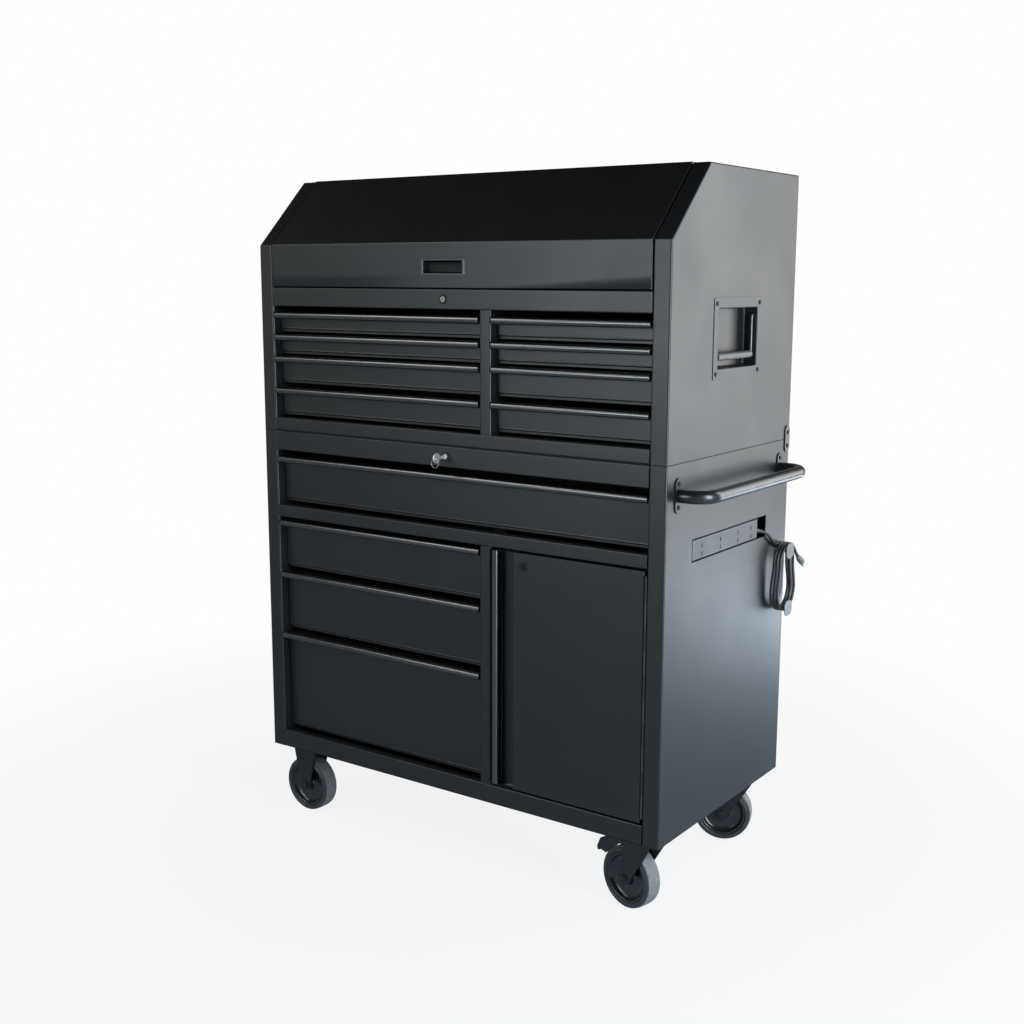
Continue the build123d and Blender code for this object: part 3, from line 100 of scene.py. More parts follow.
cord_black = finish("cord_black", (0.018, 0.019, 0.021), 0.42, tone=0.25, patch=0.03, grain=0.0012,
                    rise=0.00003)
cord_radius = 3.75
coil_x, coil_y, coil_top, coil_bottom = 550.75, 284.4, 778.0, 614.0
turn_radii = [46.0, 50.0, 45.0, 48.5, 46.5, 49.0, 46.0]
turn_pitch, turn_step = 4.05, 30
lead_in = 0.268
turn_x = [coil_x + turn_pitch * k for k in range(7)]


def half_turn(k, angles):
    """Points round the hook at equal angles, far enough out for the smooth line to have the turn's
    radius."""
    angles = np.radians(angles)
    out = turn_radii[k] / np.cos(np.radians(turn_step / 2))
    middle = (coil_top - turn_radii[k]) if k % 2 == 0 else (coil_bottom + turn_radii[k])
    return np.stack([np.full(len(angles), turn_x[k]), coil_y + out * np.cos(angles),
                     middle + out * np.sin(angles)], 1)


def straight(k):
    """The two points at the ends of run k, each as far from its half turn as the turn's last point,
    which is a set share of the turn's radius."""
    way = 1 if k % 2 == 0 else -1
    a, b = turn_radii[k], turn_radii[k + 1]
    z = [coil_top - a - lead_in * a, coil_bottom + b + lead_in * b]
    if way == -1:
        z = [coil_bottom + a + lead_in * a, coil_top - b - lead_in * b]
    return np.array([[turn_x[k], coil_y + way * a, z[0]], [turn_x[k + 1], coil_y + way * b, z[1]]])


over = np.arange(180 - turn_step / 2, 0, -turn_step)
under = np.arange(-turn_step / 2, -180, -turn_step)
lead = [(544.05, 186.0, 820.5), (547.67, 195.89, 818.11), (551.85, 207.0, 812.4), (553.65, 218.0, 804.6),
        (553.45, 229.0, 795.8), (552.45, 241.2, 787.2), (551.45, 253.4, 780.8), (550.75, 262.4, 778.0),
        (550.75, 272.1, 778.0)]
tail = [(575.05, 294.0, 777.5), (577.2, 305.5, 770.0), (580.5, 312.5, 756.0), (582.2, 317.8, 745.9),
        (583.4, 323.4, 740.6)]
route = [np.array(lead), half_turn(0, over[3:]), straight(0)]
for k in range(1, 6):
    route += [half_turn(k, under if k % 2 else over), straight(k)]
route += [half_turn(6, over[:3]), np.array(tail)]
route = np.concatenate(route) / 1000
line = bpy.data.curves.new("cord", "CURVE")
line.dimensions = "3D"
line.bevel_depth = cord_radius / 1000
line.bevel_resolution = 6
line.use_fill_caps = True
spline = line.splines.new("NURBS")
spline.points.add(len(route) - 1)
spline.points.foreach_set("co", np.column_stack([route, np.ones(len(route))]).ravel())
spline.order_u = 3
spline.use_endpoint_u = True
spline.resolution_u = 10
line.materials.append(cord_black)
cord = bpy.data.objects.new("cord", line)
scene.collection.objects.link(cord)
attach(cord, "carcass")
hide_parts("power_cord_lead", "power_cord_coil")


# Plug. Grey moulded plastic round the cord's end, ribbed at its neck, with two flat blades
# and a ground pin.
broken_from = radians(40)


def build(name, skins, material, body, inside=None, sheet=0.0, soft=0.0, replaces=(), crease=32):
    """One piece from skins of points in millimetres and faces: shared points are joined, and faces turn
    outwards, or away from a point inside where the piece is an open sheet that is then given its
    thickness."""
    points, faces, first = [], [], 0
    for skin_points, skin_faces in skins:
        points.append(skin_points)
        faces += [[i + first for i in face] for face in skin_faces]
        first += len(skin_points)
    points, where = np.unique(np.round(np.concatenate(points), 3), axis=0, return_inverse=True)
    where = where.ravel()
    faces = [list(dict.fromkeys(where[face].tolist())) for face in faces]
    mesh = bpy.data.meshes.new(name)
    mesh.from_pydata((points / 1000).tolist(), [], [face for face in faces if len(face) > 2])
    work = bmesh.new()
    work.from_mesh(mesh)
    bmesh.ops.recalc_face_normals(work, faces=work.faces)
    if inside is not None:
        middle = np.array(inside) / 1000
        away = sum(f.calc_area() * float(np.dot(np.array(f.calc_center_median()) - middle, f.normal))
                   for f in work.faces)
        if away < 0:
            bmesh.ops.reverse_faces(work, faces=work.faces)
    work.to_mesh(mesh)
    work.free()
    mesh.shade_smooth()
    mesh.set_sharp_from_angle(angle=radians(crease))
    mesh.materials.append(material)
    piece = bpy.data.objects.new(name, mesh)
    scene.collection.objects.link(piece)
    if sheet:
        wall = piece.modifiers.new("wall", "SOLIDIFY")
        wall.thickness, wall.offset, wall.use_even_offset = sheet / 1000, -1.0, True
    if soft:
        edge = piece.modifiers.new("edge", "BEVEL")
        edge.width, edge.segments, edge.limit_method = soft / 1000, 2, "ANGLE"
        edge.angle_limit = broken_from
    piece.modifiers.new("normals", "WEIGHTED_NORMAL").keep_sharp = True
    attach(piece, body)
    if replaces:
        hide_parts(*replaces)
    return piece


def skin(grid, around=False, along=False, caps=(), leave_out=()):
    """Four-cornered faces over a grid of points, closed along its rows or columns where the piece is,
    with a flat cap on each row that is named. Faces whose middle lies in a left-out box are holes."""
    rows, columns = grid.shape[:2]
    index = np.arange(rows * columns).reshape(rows, columns)
    wide = np.hstack([index, index[:, :1]]) if around else index
    wide = np.vstack([wide, wide[:1]]) if along else wide
    faces = np.stack([wide[:-1, :-1], wide[:-1, 1:], wide[1:, 1:], wide[1:, :-1]], -1).reshape(-1, 4)
    points = grid.reshape(-1, 3)
    middles = points[faces].mean(axis=1)
    for low, high in leave_out:
        faces, middles = [a[~((middles > low) & (middles < high)).all(axis=1)] for a in (faces, middles)]
    faces = faces.tolist()
    faces += [index[row].tolist() for row in caps]
    return points, faces


both_ends = (0, -1)


def tube(path, radii, sides=28):
    """A round skin along a path: at each point a circle stands across the path, with that point's radius."""
    path = np.asarray(path, float)
    along = np.gradient(path, axis=0)
    along /= np.linalg.norm(along, axis=1, keepdims=True)
    level = np.eye(3)[np.abs(along).max(axis=0).argmin()]
    side = np.cross(along, level)
    side /= np.linalg.norm(side, axis=1, keepdims=True)
    up = np.cross(side, along)
    angle = np.linspace(0, 2 * np.pi, sides, endpoint=False)[None, :, None]
    reach = np.broadcast_to(np.asarray(radii, float), len(path))[:, None, None]
    grid = path[:, None] + reach * (np.cos(angle) * side[:, None] + np.sin(angle) * up[:, None])
    return skin(grid, around=True, caps=both_ends)


plug_grey = finish("plug_grey", (0.12, 0.125, 0.13), 0.4, tone=0.1, patch=0.02, grain=0.0006)
plug_start, plug_way = np.array([583.4, 323.4, 740.6]), np.array([0.15, 0.72, -0.68])
plug_way /= np.linalg.norm(plug_way)
plug_profile = np.array([(-4, 3.8), (-3, 4.8), (0, 5.3), (1, 4.7), (2, 4.8), (3, 5.9), (4, 5.3), (5, 5.5),
                         (6, 6.6), (8, 7.2), (10, 7.8), (14, 8.0), (22, 8.0), (24.5, 7.8), (25.7, 7.0),
                         (26, 5.5)])
plug_skin = tube(plug_start + plug_profile[:, :1] * plug_way, plug_profile[:, 1], 24)
plug = build("plug_body", [plug_skin], plug_grey, "carcass", replaces=["power_plug"],
             crease=60)
plug_side = np.cross(plug_way, (1.0, 0.0, 0.0))
plug_side /= np.linalg.norm(plug_side)
plug_up = np.cross(plug_side, plug_way)
nickel = finish("nickel", (0.7, 0.68, 0.64), 0.24, metallic=1.0, tone=0.08, patch=0.01, grain=0.0005,
                rise=0.000004)
prongs, prong_start, prong_length = [], 25, 12.5
for offset, lift, half_size in ((-5.2, 0.0, (0.8, 3.0)), (5.2, 0.0, (0.8, 3.0)), (0.0, 3.0, (1.9, 1.9))):
    corner = np.array([(-1, -1), (1, -1), (1, 1), (-1, 1)]) * half_size
    base = (plug_start + prong_start * plug_way + (offset + corner[:, :1]) * plug_side
            + (lift + corner[:, 1:]) * plug_up)
    prongs.append(skin(np.stack([base, base + prong_length * plug_way]), around=True, caps=both_ends))
plug_blades = build("plug_blades", prongs, nickel, "carcass", soft=0.4)

# Floor and light. A pale floor that turns white away from the object, a dim surround whose
# tone changes with height, and soft boxes round the object.
floor_mesh = bpy.data.meshes.new("floor")
floor_mesh.from_pydata([(-30, -30, 0), (30, -30, 0), (30, 30, 0), (-30, 30, 0)], [], [(0, 1, 2, 3)])
floor = bpy.data.objects.new("floor", floor_mesh)
scene.collection.objects.link(floor)
floor_paint = bpy.data.materials.new("floor_paint")
floor_paint.use_nodes = True
nodes, links = floor_paint.node_tree.nodes, floor_paint.node_tree.links
nodes["Principled BSDF"].inputs["Base Color"].default_value = (0.44, 0.52, 0.6, 1)
nodes["Principled BSDF"].inputs["Roughness"].default_value = 0.9
rays, place = nodes.new("ShaderNodeLightPath"), nodes.new("ShaderNodeTexCoord")
away, share = nodes.new("ShaderNodeVectorMath"), nodes.new("ShaderNodeMath")
reach, far = nodes.new("ShaderNodeMapRange"), nodes.new("ShaderNodeMapRange")
white, glow = nodes.new("ShaderNodeEmission"), nodes.new("ShaderNodeEmission")
dressed, mixed = nodes.new("ShaderNodeMixShader"), nodes.new("ShaderNodeMixShader")
away.operation, share.operation = "LENGTH", "MULTIPLY"
for socket, value in zip(("From Min", "From Max", "To Min", "To Max"), (0.7, 2.4, 0.86, 1.0)):
    reach.inputs[socket].default_value = value
horizon_tone = 0.4
far.inputs["From Min"].default_value, far.inputs["From Max"].default_value = 1.5, 9.0
far.interpolation_type = "SMOOTHSTEP"
glow.inputs["Strength"].default_value = horizon_tone
links.new(away.outputs["Value"], far.inputs["Value"])
links.new(far.outputs["Result"], dressed.inputs["Fac"])
links.new(nodes["Principled BSDF"].outputs[0], dressed.inputs[1])
links.new(glow.outputs[0], dressed.inputs[2])
links.new(place.outputs["Object"], away.inputs[0])
links.new(away.outputs["Value"], reach.inputs["Value"])
links.new(reach.outputs["Result"], share.inputs[0])
links.new(rays.outputs["Is Camera Ray"], share.inputs[1])
links.new(share.outputs[0], mixed.inputs["Fac"])
links.new(dressed.outputs[0], mixed.inputs[1])
links.new(white.outputs[0], mixed.inputs[2])
links.new(mixed.outputs[0], nodes["Material Output"].inputs["Surface"])
floor_mesh.materials.append(floor_paint)

world = bpy.data.worlds.new("surround")
world.use_nodes = True
scene.world = world
nodes, links = world.node_tree.nodes, world.node_tree.links
place, split = nodes.new("ShaderNodeTexCoord"), nodes.new("ShaderNodeSeparateXYZ")
ramp, seen = nodes.new("ShaderNodeValToRGB"), nodes.new("ShaderNodeMix")
rays = nodes.new("ShaderNodeLightPath")
seen.data_type = "RGBA"
links.new(place.outputs["Generated"], split.inputs[0])
links.new(split.outputs["Z"], ramp.inputs["Fac"])
links.new(rays.outputs["Is Camera Ray"], seen.inputs[0])
links.new(ramp.outputs["Color"], seen.inputs[6])
seen.inputs[7].default_value = (1, 1, 1, 1)
links.new(seen.outputs[2], nodes["Background"].inputs["Color"])
tones = [(0.0, horizon_tone), (0.3, 0.12), (0.6, 0.0)]
while len(ramp.color_ramp.elements) < len(tones):
    ramp.color_ramp.elements.new(1.0)
for element, (height, tone) in zip(ramp.color_ramp.elements, tones):
    element.position, element.color = height, (tone, tone, tone, 1)


def soft_box(name, place, aim_at, size, watts, colour=(1.0, 1.0, 1.0)):
    """A rectangular lamp whose face turns to a point. The camera doesn't see the lamp itself."""
    lamp = bpy.data.lights.new(name, "AREA")
    lamp.shape, lamp.size, lamp.size_y = "RECTANGLE", size[0], size[1]
    lamp.energy, lamp.color = watts, colour
    box = bpy.data.objects.new(name, lamp)
    box.visible_camera = False
    scene.collection.objects.link(box)
    way = Matrix.Translation(place).to_translation() - Matrix.Translation(aim_at).to_translation()
    box.matrix_world = Matrix.Translation(place) @ way.to_track_quat("Z", "Y").to_matrix().to_4x4()


soft_box("right_rear", (2.4, 2.6, 1.4), (0.5, 0.1, 1.1), (1.6, 2.2), 60, (0.96, 0.98, 1.0))
soft_box("right_rear_high", (2.2, 2.4, 3.0), (0.3, 0.0, 1.2), (1.6, 1.0), 28, (0.85, 0.94, 1.0))
soft_box("right_rear_low", (1.25, 1.9, 0.2), (0.5, 0.1, 0.45), (1.2, 0.36), 8, (0.78, 0.89, 1.0))
soft_box("right_front", (3.0, -0.8, 1.4), (0.5, -0.2, 1.1), (0.8, 2.2), 115, (0.86, 0.94, 1.0))
soft_box("front_left", (-1.3, -3.9, 1.7), (0.0, -0.3, 1.1), (1.2, 1.6), 40, (0.86, 0.98, 1.0))
soft_box("front", (-0.6, -4.3, 1.7), (0.0, -0.3, 1.1), (1.4, 1.6), 26, (0.72, 0.9, 1.0))
soft_box("above_left", (-1.95, -2.1, 2.9), (0.0, -0.3, 1.1), (1.1, 1.3), 21)

# Sides of the rolling cabinet. Each is one folded sheet of painted steel: the wall, a post
# turned in at the front and the post's return. The right one has the power strip's slot.
paint = finish("satin_black_paint", (0.006, 0.0066, 0.0073), 0.4, level=0.5, tone=0.14, patch=0.5,
               spread=0.03, grain=0.0011, rise=0.000022)
x_right, x_middle = 545.25, -38.75
y_front, y_back = -287.6, 327.4
z_cabinet, z_seam, z_fold, z_top = 187.0, 1030.0, 1491.0, 1653.0
sheet, post, post_return, fold = 1.2, 42.0, 60.0, 4.5
slot_y, slot_z = (-166.6, 211.4), (805.0, 857.0)
seam_gap, cut_reach = 1.0, 5


def rounded(points, radius, steps=4):
    """An open line whose corners are arcs: a corner's arc has its centre one radius from both lines, and
    its points lie round it at equal angles."""
    points = np.asarray(points, float)
    before, corner, after = points[:-2], points[1:-1], points[2:]
    way_in = (corner - before) / np.linalg.norm(corner - before, axis=1, keepdims=True)
    way_out = (after - corner) / np.linalg.norm(after - corner, axis=1, keepdims=True)
    cosine = (way_in * way_out).sum(axis=1, keepdims=True)
    side = way_out - way_in * cosine
    side /= np.linalg.norm(side, axis=1, keepdims=True)
    turn = np.arccos(np.clip(cosine, -1, 1))
    start = corner - way_in * radius * np.tan(turn / 2)
    angle = (turn * np.linspace(0, 1, steps + 1))[:, :, None]
    arcs = (start + side * radius)[:, None] + radius * (np.sin(angle) * way_in[:, None]
                                                        - np.cos(angle) * side[:, None])
    return np.concatenate([points[:1], arcs.reshape(-1, points.shape[1]), points[-1:]])


def carried(profile, axes, stops):
    """A grid from a flat profile that is carried along the third axis, with one row at each stop."""
    stops = np.asarray(stops, float)
    grid = np.empty((len(stops), len(profile), 3))
    grid[:, :, axes[0]], grid[:, :, axes[1]] = profile[:, 0], profile[:, 1]
    grid[:, :, 3 - axes[0] - axes[1]] = stops[:, None]
    return grid


def mirrored(grid):
    """The same grid on the other side of the body."""
    return grid * (-1, 1, 1) + (2 * x_middle, 0, 0)


wall_profile = rounded([(x_right, y_back), (x_right, y_front), (x_right - post, y_front),
                        (x_right - post, y_front + post_return)], fold)
wall_profile = np.insert(wall_profile, 1, [(x_right, slot_y[1]), (x_right, slot_y[0])], axis=0)
wall_grid = carried(wall_profile, (0, 1), [z_cabinet, slot_z[0], slot_z[1], z_seam - seam_gap])
slot_box = (np.array((x_right - cut_reach, slot_y[0], slot_z[0])),
            np.array((x_right + cut_reach, slot_y[1], slot_z[1])))
inside = (x_middle, 20.0, 900.0)
build("cabinet_wall_right", [skin(wall_grid, leave_out=[slot_box])], paint, "carcass", inside,
      sheet, replaces=["cabinet_side_right"])
build("cabinet_wall_left", [skin(mirrored(wall_grid))], paint, "carcass", inside, sheet,
      replaces=["cabinet_side_left"])

# Sides of the top chest. The wall is folded along its front, its slope and its top into a
# strip as wide as the posts, which ends in a return. Each has an opening for a handle tray.
tray_y, tray_z = 25.4, 1284.0
tray_half = (98.5, 67.0)
cut_y = (tray_y - tray_half[0], tray_y + tray_half[0])
cut_z = (tray_z - tray_half[1], tray_z + tray_half[1])
slope_run, half_slope, gutter, z_till_rim = 162.0, 22.5, 18, 1388.0


def chest_edge(inset, z_start, front_stops=(), top_stops=(), radius=3.0):
    """The chest's front, slope and top as (y, z) points, moved in by an inset, with rounded folds."""
    lean = np.tan(radians(half_slope))
    line = rounded([(y_front + inset, z_start), (y_front + inset, z_fold - inset * lean),
                    (y_front + slope_run + inset * lean, z_top - inset), (y_back, z_top - inset)],
                   max(radius - inset, 0.2))
    if front_stops:
        line = np.insert(line, 1, [(y_front + inset, z) for z in front_stops], axis=0)
    if top_stops:
        line = np.insert(line, -1, [(y, z_top - inset) for y in top_stops], axis=0)
    return line


def chest_rim(section, z_start, front_stops=(), top_stops=(), radius=3.0):
    """A grid whose rows follow the chest's edge, one for each (x, inset) of the section across it."""
    return np.stack([np.insert(chest_edge(inset, z_start, front_stops, top_stops, radius), 0, x, axis=1)
                     for x, inset in section])


both_sides = (("right", lambda grid: grid), ("left", mirrored))
strip_section = rounded([(x_right - post, gutter), (x_right - post, 0), (x_right, 0), (x_right, 5)], fold)
rim = chest_rim(strip_section, z_seam + seam_gap, cut_z, cut_y)
over_wall = rim[-1][3:]
wall_rows = [np.column_stack([over_wall[:, :2], np.full(len(over_wall), z)])
             for z in (z_seam + seam_gap, *cut_z)]
wall_face = np.stack(wall_rows + [over_wall])
cut_box = (np.array((x_right - cut_reach, cut_y[0], cut_z[0])),
           np.array((x_right + cut_reach, cut_y[1], cut_z[1])))
post_back = carried(np.array([(x_right - post, y_front + gutter - 1),
                              (x_right - post, y_front + post_return)]), (0, 1), [z_seam + 1, z_till_rim])
for side, flip in both_sides:
    box = tuple(np.sort(np.array([flip(cut_box[0]), flip(cut_box[1])]), axis=0))
    wall_skins = [skin(flip(rim)), skin(flip(wall_face), leave_out=[box]), skin(flip(post_back))]
    build(f"chest_wall_{side}", wall_skins, paint, "carcass", inside, sheet,
          replaces=[f"chest_side_{side}"])

# Lid. One sheet that follows the front, the slope and the top between the side strips, with
# a skirt at each side, a return under its front edge and a flange down to the hinge.
lid_x, lid_proud, lid_flange, z_lid, z_hinge = (-578.75, 501.25), 2.0, 18, 1391.0, 1635.0
cup_x, cup_z = (-96.25, 18.75), (1421.0, 1453.0)
lid_fold, skirt_fold = 2.5, 1.8
lid_section = rounded([(lid_x[0], lid_flange), (lid_x[0], -lid_proud), (lid_x[1], -lid_proud),
                       (lid_x[1], lid_flange)], skirt_fold)
lid_section = np.insert(lid_section, 6, [(cup_x[0], -lid_proud), (cup_x[1], -lid_proud)], axis=0)
lid_grid = chest_rim(lid_section, z_lid, cup_z, radius=lid_fold)
cup_box = (np.array((cup_x[0], y_front - cut_reach, cup_z[0])),
           np.array((cup_x[1], y_front + cut_reach, cup_z[1])))
between_skirts = slice(5, 9)
lid_front, lid_back = lid_grid[between_skirts, 0], lid_grid[between_skirts, -1]
front_return = np.stack([lid_front, lid_front + (0, lid_flange, 0)])
back_flange = np.stack([lid_back, lid_back * (1, 1, 0) + (0, 0, z_hinge + 2)])
build("lid_sheet", [skin(lid_grid, leave_out=[cup_box]), skin(front_return), skin(back_flange)], paint, "lid",
      inside, sheet)


# Hinge leaf and strut brackets of the lid. They are plated steel, spot-welded to its sheet.
def shells(node):
    """The node's separate solids as points in millimetres and triangles: corners at one place are
    joined, and each solid is what its edges hold together."""
    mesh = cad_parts[node].data
    mesh.calc_loop_triangles()
    corners = np.empty(len(mesh.vertices) * 3, np.float32)
    mesh.vertices.foreach_get("co", corners)
    triangles = np.empty(len(mesh.loop_triangles) * 3, np.int32)
    mesh.loop_triangles.foreach_get("vertices", triangles)
    points, where = np.unique(np.round(corners.reshape(-1, 3) * 1000.0, 3), axis=0, return_inverse=True)
    triangles = where.ravel()[triangles].reshape(-1, 3)
    label = np.arange(len(points))
    while True:
        least = label.copy()
        np.minimum.at(least, triangles.ravel(), np.repeat(label[triangles].min(axis=1), 3))
        least = least[least]
        if (least == label).all():
            break
        label = least
    mine = label[triangles[:, 0]]
    return [(points, triangles[mine == k].tolist()) for k in np.unique(mine)]


def limits(shell):
    """The lowest and highest corner of a solid."""
    used = shell[0][np.unique(shell[1])]
    return used.min(axis=0), used.max(axis=0)


def softened(name, found, material, body, soft=0.4, replaces=()):
    """A piece from solids of the frame whose flat faces are whole again and whose edges are broken."""
    piece = build(name, found, material, body, replaces=replaces)
    work = bmesh.new()
    work.from_mesh(piece.data)
    loose = [v for v in work.verts if not v.link_faces]
    bmesh.ops.delete(work, geom=loose, context="VERTS")
    bmesh.ops.dissolve_limit(work, angle_limit=radians(0.5), verts=work.verts, edges=work.edges)
    bmesh.ops.recalc_face_normals(work, faces=work.faces)
    work.to_mesh(piece.data)
    work.free()
    piece.data.shade_smooth()
    piece.data.set_sharp_from_angle(angle=radians(30))
    edge = piece.modifiers.new("edge", "BEVEL")
    edge.width, edge.segments = soft / 1000, 2
    edge.limit_method, edge.angle_limit = "ANGLE", broken_from
    piece.modifiers.move(len(piece.modifiers) - 1, 0)
    return piece


zinc = finish("zinc_plate", (0.42, 0.43, 0.44), 0.36, metallic=1.0, tone=0.14, patch=0.03, spread=0.08,
              grain=0.001, rise=0.000006)
lid_solids = sorted(shells("lid"), key=lambda shell: -np.prod(limits(shell)[1] - limits(shell)[0] + 1))
softened("lid_fittings", lid_solids[1:], zinc, "lid", 0.3, replaces=["lid"])

# Pull cup. A dish of black moulded plastic that is pressed into the lid's front, with a thin
# raised rim and rounded inner edges. The dish is painted near-black and dull, partly its own
# black plastic and partly painted shade in the hollow. The rim is painted a lighter grey as a
# painted highlight.
# Painted shade in the dish and a painted highlight on the rim of the one plastic cup.
cup_dish_shade = finish("cup_dish_shade", (0.003, 0.003, 0.0035), 0.5, level=0.2, tone=0.1, patch=0.05,
                     grain=0.0005, rise=0.00001)
cup_rim_highlight = finish("cup_rim_highlight", (0.05, 0.055, 0.06), 0.32, tone=0.1, patch=0.05, grain=0.0005, rise=0.00001)


def ring(center, half, corner, steps=5):
    """A rounded rectangle as (u, v) points: four quarter circles, one in from each corner."""
    corner = min(corner, half[0] - 0.01, half[1] - 0.01)
    angle = np.radians(np.add.outer(np.arange(4) * 90, np.linspace(0, 90, steps + 1)))
    sign = np.array([(1, 1), (-1, 1), (-1, -1), (1, -1)])[:, None]
    middle = np.array(center) + sign * (np.array(half) - corner)
    return (middle + corner * np.stack([np.cos(angle), np.sin(angle)], -1)).reshape(-1, 2)


def dished(center, steps, axes, way):
    """A grid of rounded rectangles, one for each (half length, half height, corner, depth) of the steps."""
    rows = [ring(center, step[:2], step[2]) for step in steps]
    grid = np.empty((len(steps), len(rows[0]), 3))
    grid[:, :, axes[0]], grid[:, :, axes[1]] = np.array(rows)[:, :, 0], np.array(rows)[:, :, 1]
    grid[:, :, 3 - axes[0] - axes[1]] = np.array([way[0] + way[1] * step[3] for step in steps])[:, None]
    return grid


cup_center = (x_middle, 1437.0)
y_lid = y_front - lid_proud
cup_steps = [(57.4, 15.9, 1, -4), (62, 17.7, 2, -0.1), (62, 17.7, 2, 0.6), (61.4, 17.1, 1.8, 1.4),
             (57.2, 15.6, 1.2, 1.5), (55.9, 14.5, 1, 1.2), (55.4, 14, 1, 0), (55, 13.6, 2, -8),
             (54, 12.6, 4, -16), (51, 10, 5, -17.8), (40, 6, 4, -18)]
cup_grid = dished(cup_center, cup_steps, (0, 2), (y_lid, -1.0))
build("pull_cup_dish", [skin(cup_grid[5:], around=True, caps=[-1])], cup_dish_shade, "lid",
      (x_middle, y_lid + 30, cup_center[1]), replaces=["lid_pull_cup"], crease=50)
build("pull_cup_rim", [skin(cup_grid[:6], around=True)], cup_rim_highlight, "lid",
      (x_middle, y_lid + 5, cup_center[1]), crease=40)

# Face frames. Rails and the mid posts are painted channels, open to the back, welded flush
# between the side posts.
left_column, right_column = (-580.75, 62.75), (92.75, 503.25)
z_chest_opening, z_cabinet_opening, z_wide_opening = (1063.0, 1342.0), (233.0, 807.0), (838.0, 980.0)
rail_return, rail_end_gap = 22, 0.4


def rail(z):
    """A channel across the front: its face, and a return at its top and foot."""
    profile = rounded([(y_front + rail_return, z[0]), (y_front, z[0]), (y_front, z[1]),
                       (y_front + rail_return, z[1])], 3.0)
    return skin(carried(profile, (1, 2), [left_column[0] + rail_end_gap, right_column[1] - rail_end_gap]))


def mid_post(z):
    """A channel between the two columns: its face, and a return at each side."""
    profile = rounded([(left_column[1], y_front + post_return), (left_column[1], y_front),
                       (right_column[0], y_front), (right_column[0], y_front + post_return)], fold)
    return skin(carried(profile, (0, 1), z))


x_mid_post = (left_column[1] + right_column[0]) / 2
for name, z in (("chest_foot_rail", (z_seam + sheet, z_chest_opening[0])),
                ("lock_rail", (z_chest_opening[1], z_till_rim)),
                ("cabinet_foot_rail", (z_cabinet + sheet, z_cabinet_opening[0])),
                ("cabinet_mid_rail", (z_cabinet_opening[1], z_wide_opening[0])),
                ("cabinet_lock_rail", (z_wide_opening[1], z_seam - sheet))):
    stands_for = {"lock_rail": ["chest_frame"], "cabinet_lock_rail": ["cabinet_frame"]}.get(name, [])
    build(name, [rail(z)], paint, "carcass", (x_middle, y_front + 20, sum(z) / 2), sheet,
          replaces=stands_for)
for name, z in (("chest_mid_post", z_chest_opening), ("cabinet_mid_post", z_cabinet_opening)):
    build(name, [mid_post(z)], paint, "carcass", (x_mid_post, y_front + 40, sum(z) / 2), sheet)

# Drawers. Each front is a folded sheet with a set-back lip at its foot, and a pull of bent
# steel runs along its top. The tub is folded behind it, and ball-bearing slides carry it.
pull_finish = finish("pull_enamel", (0.004, 0.0042, 0.0042), 0.25, level=0.9, tone=0.1, patch=0.3,
                     spread=0.03, grain=0.003, rise=0.000002, ior=1.65)
tub_paint = finish("tub_paint", (0.022, 0.0235, 0.025), 0.5, tone=0.12, patch=0.3, grain=0.0011, rise=0.00002)
chest_rows = [(48.0, 7.0), (48.0, 6.5), (66.5, 13.0), (68.0, 8.0)]
cabinet_rows = [(123.5, 12.5), (151.0, 11.5), (257.0, 9.5)]
chest_head_gap, cabinet_head_gap, wide_head_gap, wide_height = 14.0, 9.0, 16.0, 116.0
drawers = [("cabinet_drawer_wide", (left_column[0], right_column[1]), z_wide_opening[1] - wide_head_gap,
            wide_height)]
for side, column in (("left", left_column), ("right", right_column)):
    steps_down = np.concatenate([[0], np.cumsum([sum(row) for row in chest_rows])[:-1]])
    tops = z_chest_opening[1] - chest_head_gap - steps_down
    drawers += [(f"chest_drawer_{side}_{n + 1}", column, top, chest_rows[n][0]) for n, top in enumerate(tops)]
steps_down = np.concatenate([[0], np.cumsum([sum(row) for row in cabinet_rows])[:-1]])
tops = z_cabinet_opening[1] - cabinet_head_gap - steps_down
drawers += [(f"cabinet_drawer_left_{n + 1}", left_column, top, cabinet_rows[n][0])
            for n, top in enumerate(tops)]
face_inset, front_side_gap, pull_side_gap = 25, 2.5, 3.5
nose_radius, runner_limit, foot_drop, head_drop = 8.25, 50, 2, 0.6


def pull_outline():
    """The pull's outline as (y, z) points from its top edge: a half-round nose, a web and a leg on the
    front."""
    nose = np.linspace(np.pi / 2, 3 * np.pi / 2, 25)
    nose = np.column_stack([5.0 + nose_radius * np.cos(nose), -nose_radius + nose_radius * np.sin(nose)])
    return np.vstack([[(25, 0)], nose, [(6.75, -16.3), (6.75, -2), (23, -2), (23, -14), (25, -14)]])


for name, (x0, x1), z_pull, height in drawers:
    y_face, z_foot = y_front + face_inset, z_pull - height - foot_drop
    front_line = rounded([(y_face + 6, z_pull - 16), (y_face + 6, z_pull - head_drop),
                          (y_face, z_pull - head_drop), (y_face, z_foot + 11), (y_face - 0.9, z_foot + 8.6),
                          (y_face + 2.6, z_foot + 6.4), (y_face + 2.6, z_foot + 0.2),
                          (y_face + 20, z_foot + 0.2)], 0.9, 3)
    front = carried(front_line, (1, 2), [x0 + front_side_gap, x1 - front_side_gap])
    build(f"{name}.front", [skin(front)], paint, name,
          ((x0 + x1) / 2, y_face + 5, z_pull - height / 2), 1.0, replaces=[name])
    bar = carried(pull_outline() + (y_front, z_pull), (1, 2), [x0 + pull_side_gap, x1 - pull_side_gap])
    build(f"{name}.pull", [skin(bar, around=True, caps=both_ends)], pull_finish, name,
          soft=0.35)
    found = shells(name)
    widths = [np.ptp(limits(shell), axis=0)[0] for shell in found]
    tub = [shell for shell, width in zip(found, widths)
           if limits(shell)[0][1] > y_face + 6.5 and width > runner_limit]
    runners = [shell for shell, width in zip(found, widths) if width < runner_limit]
    softened(f"{name}.tub", tub, tub_paint, name, 0.3)
    softened(f"{name}.slides", runners, zinc, name, 0.2)

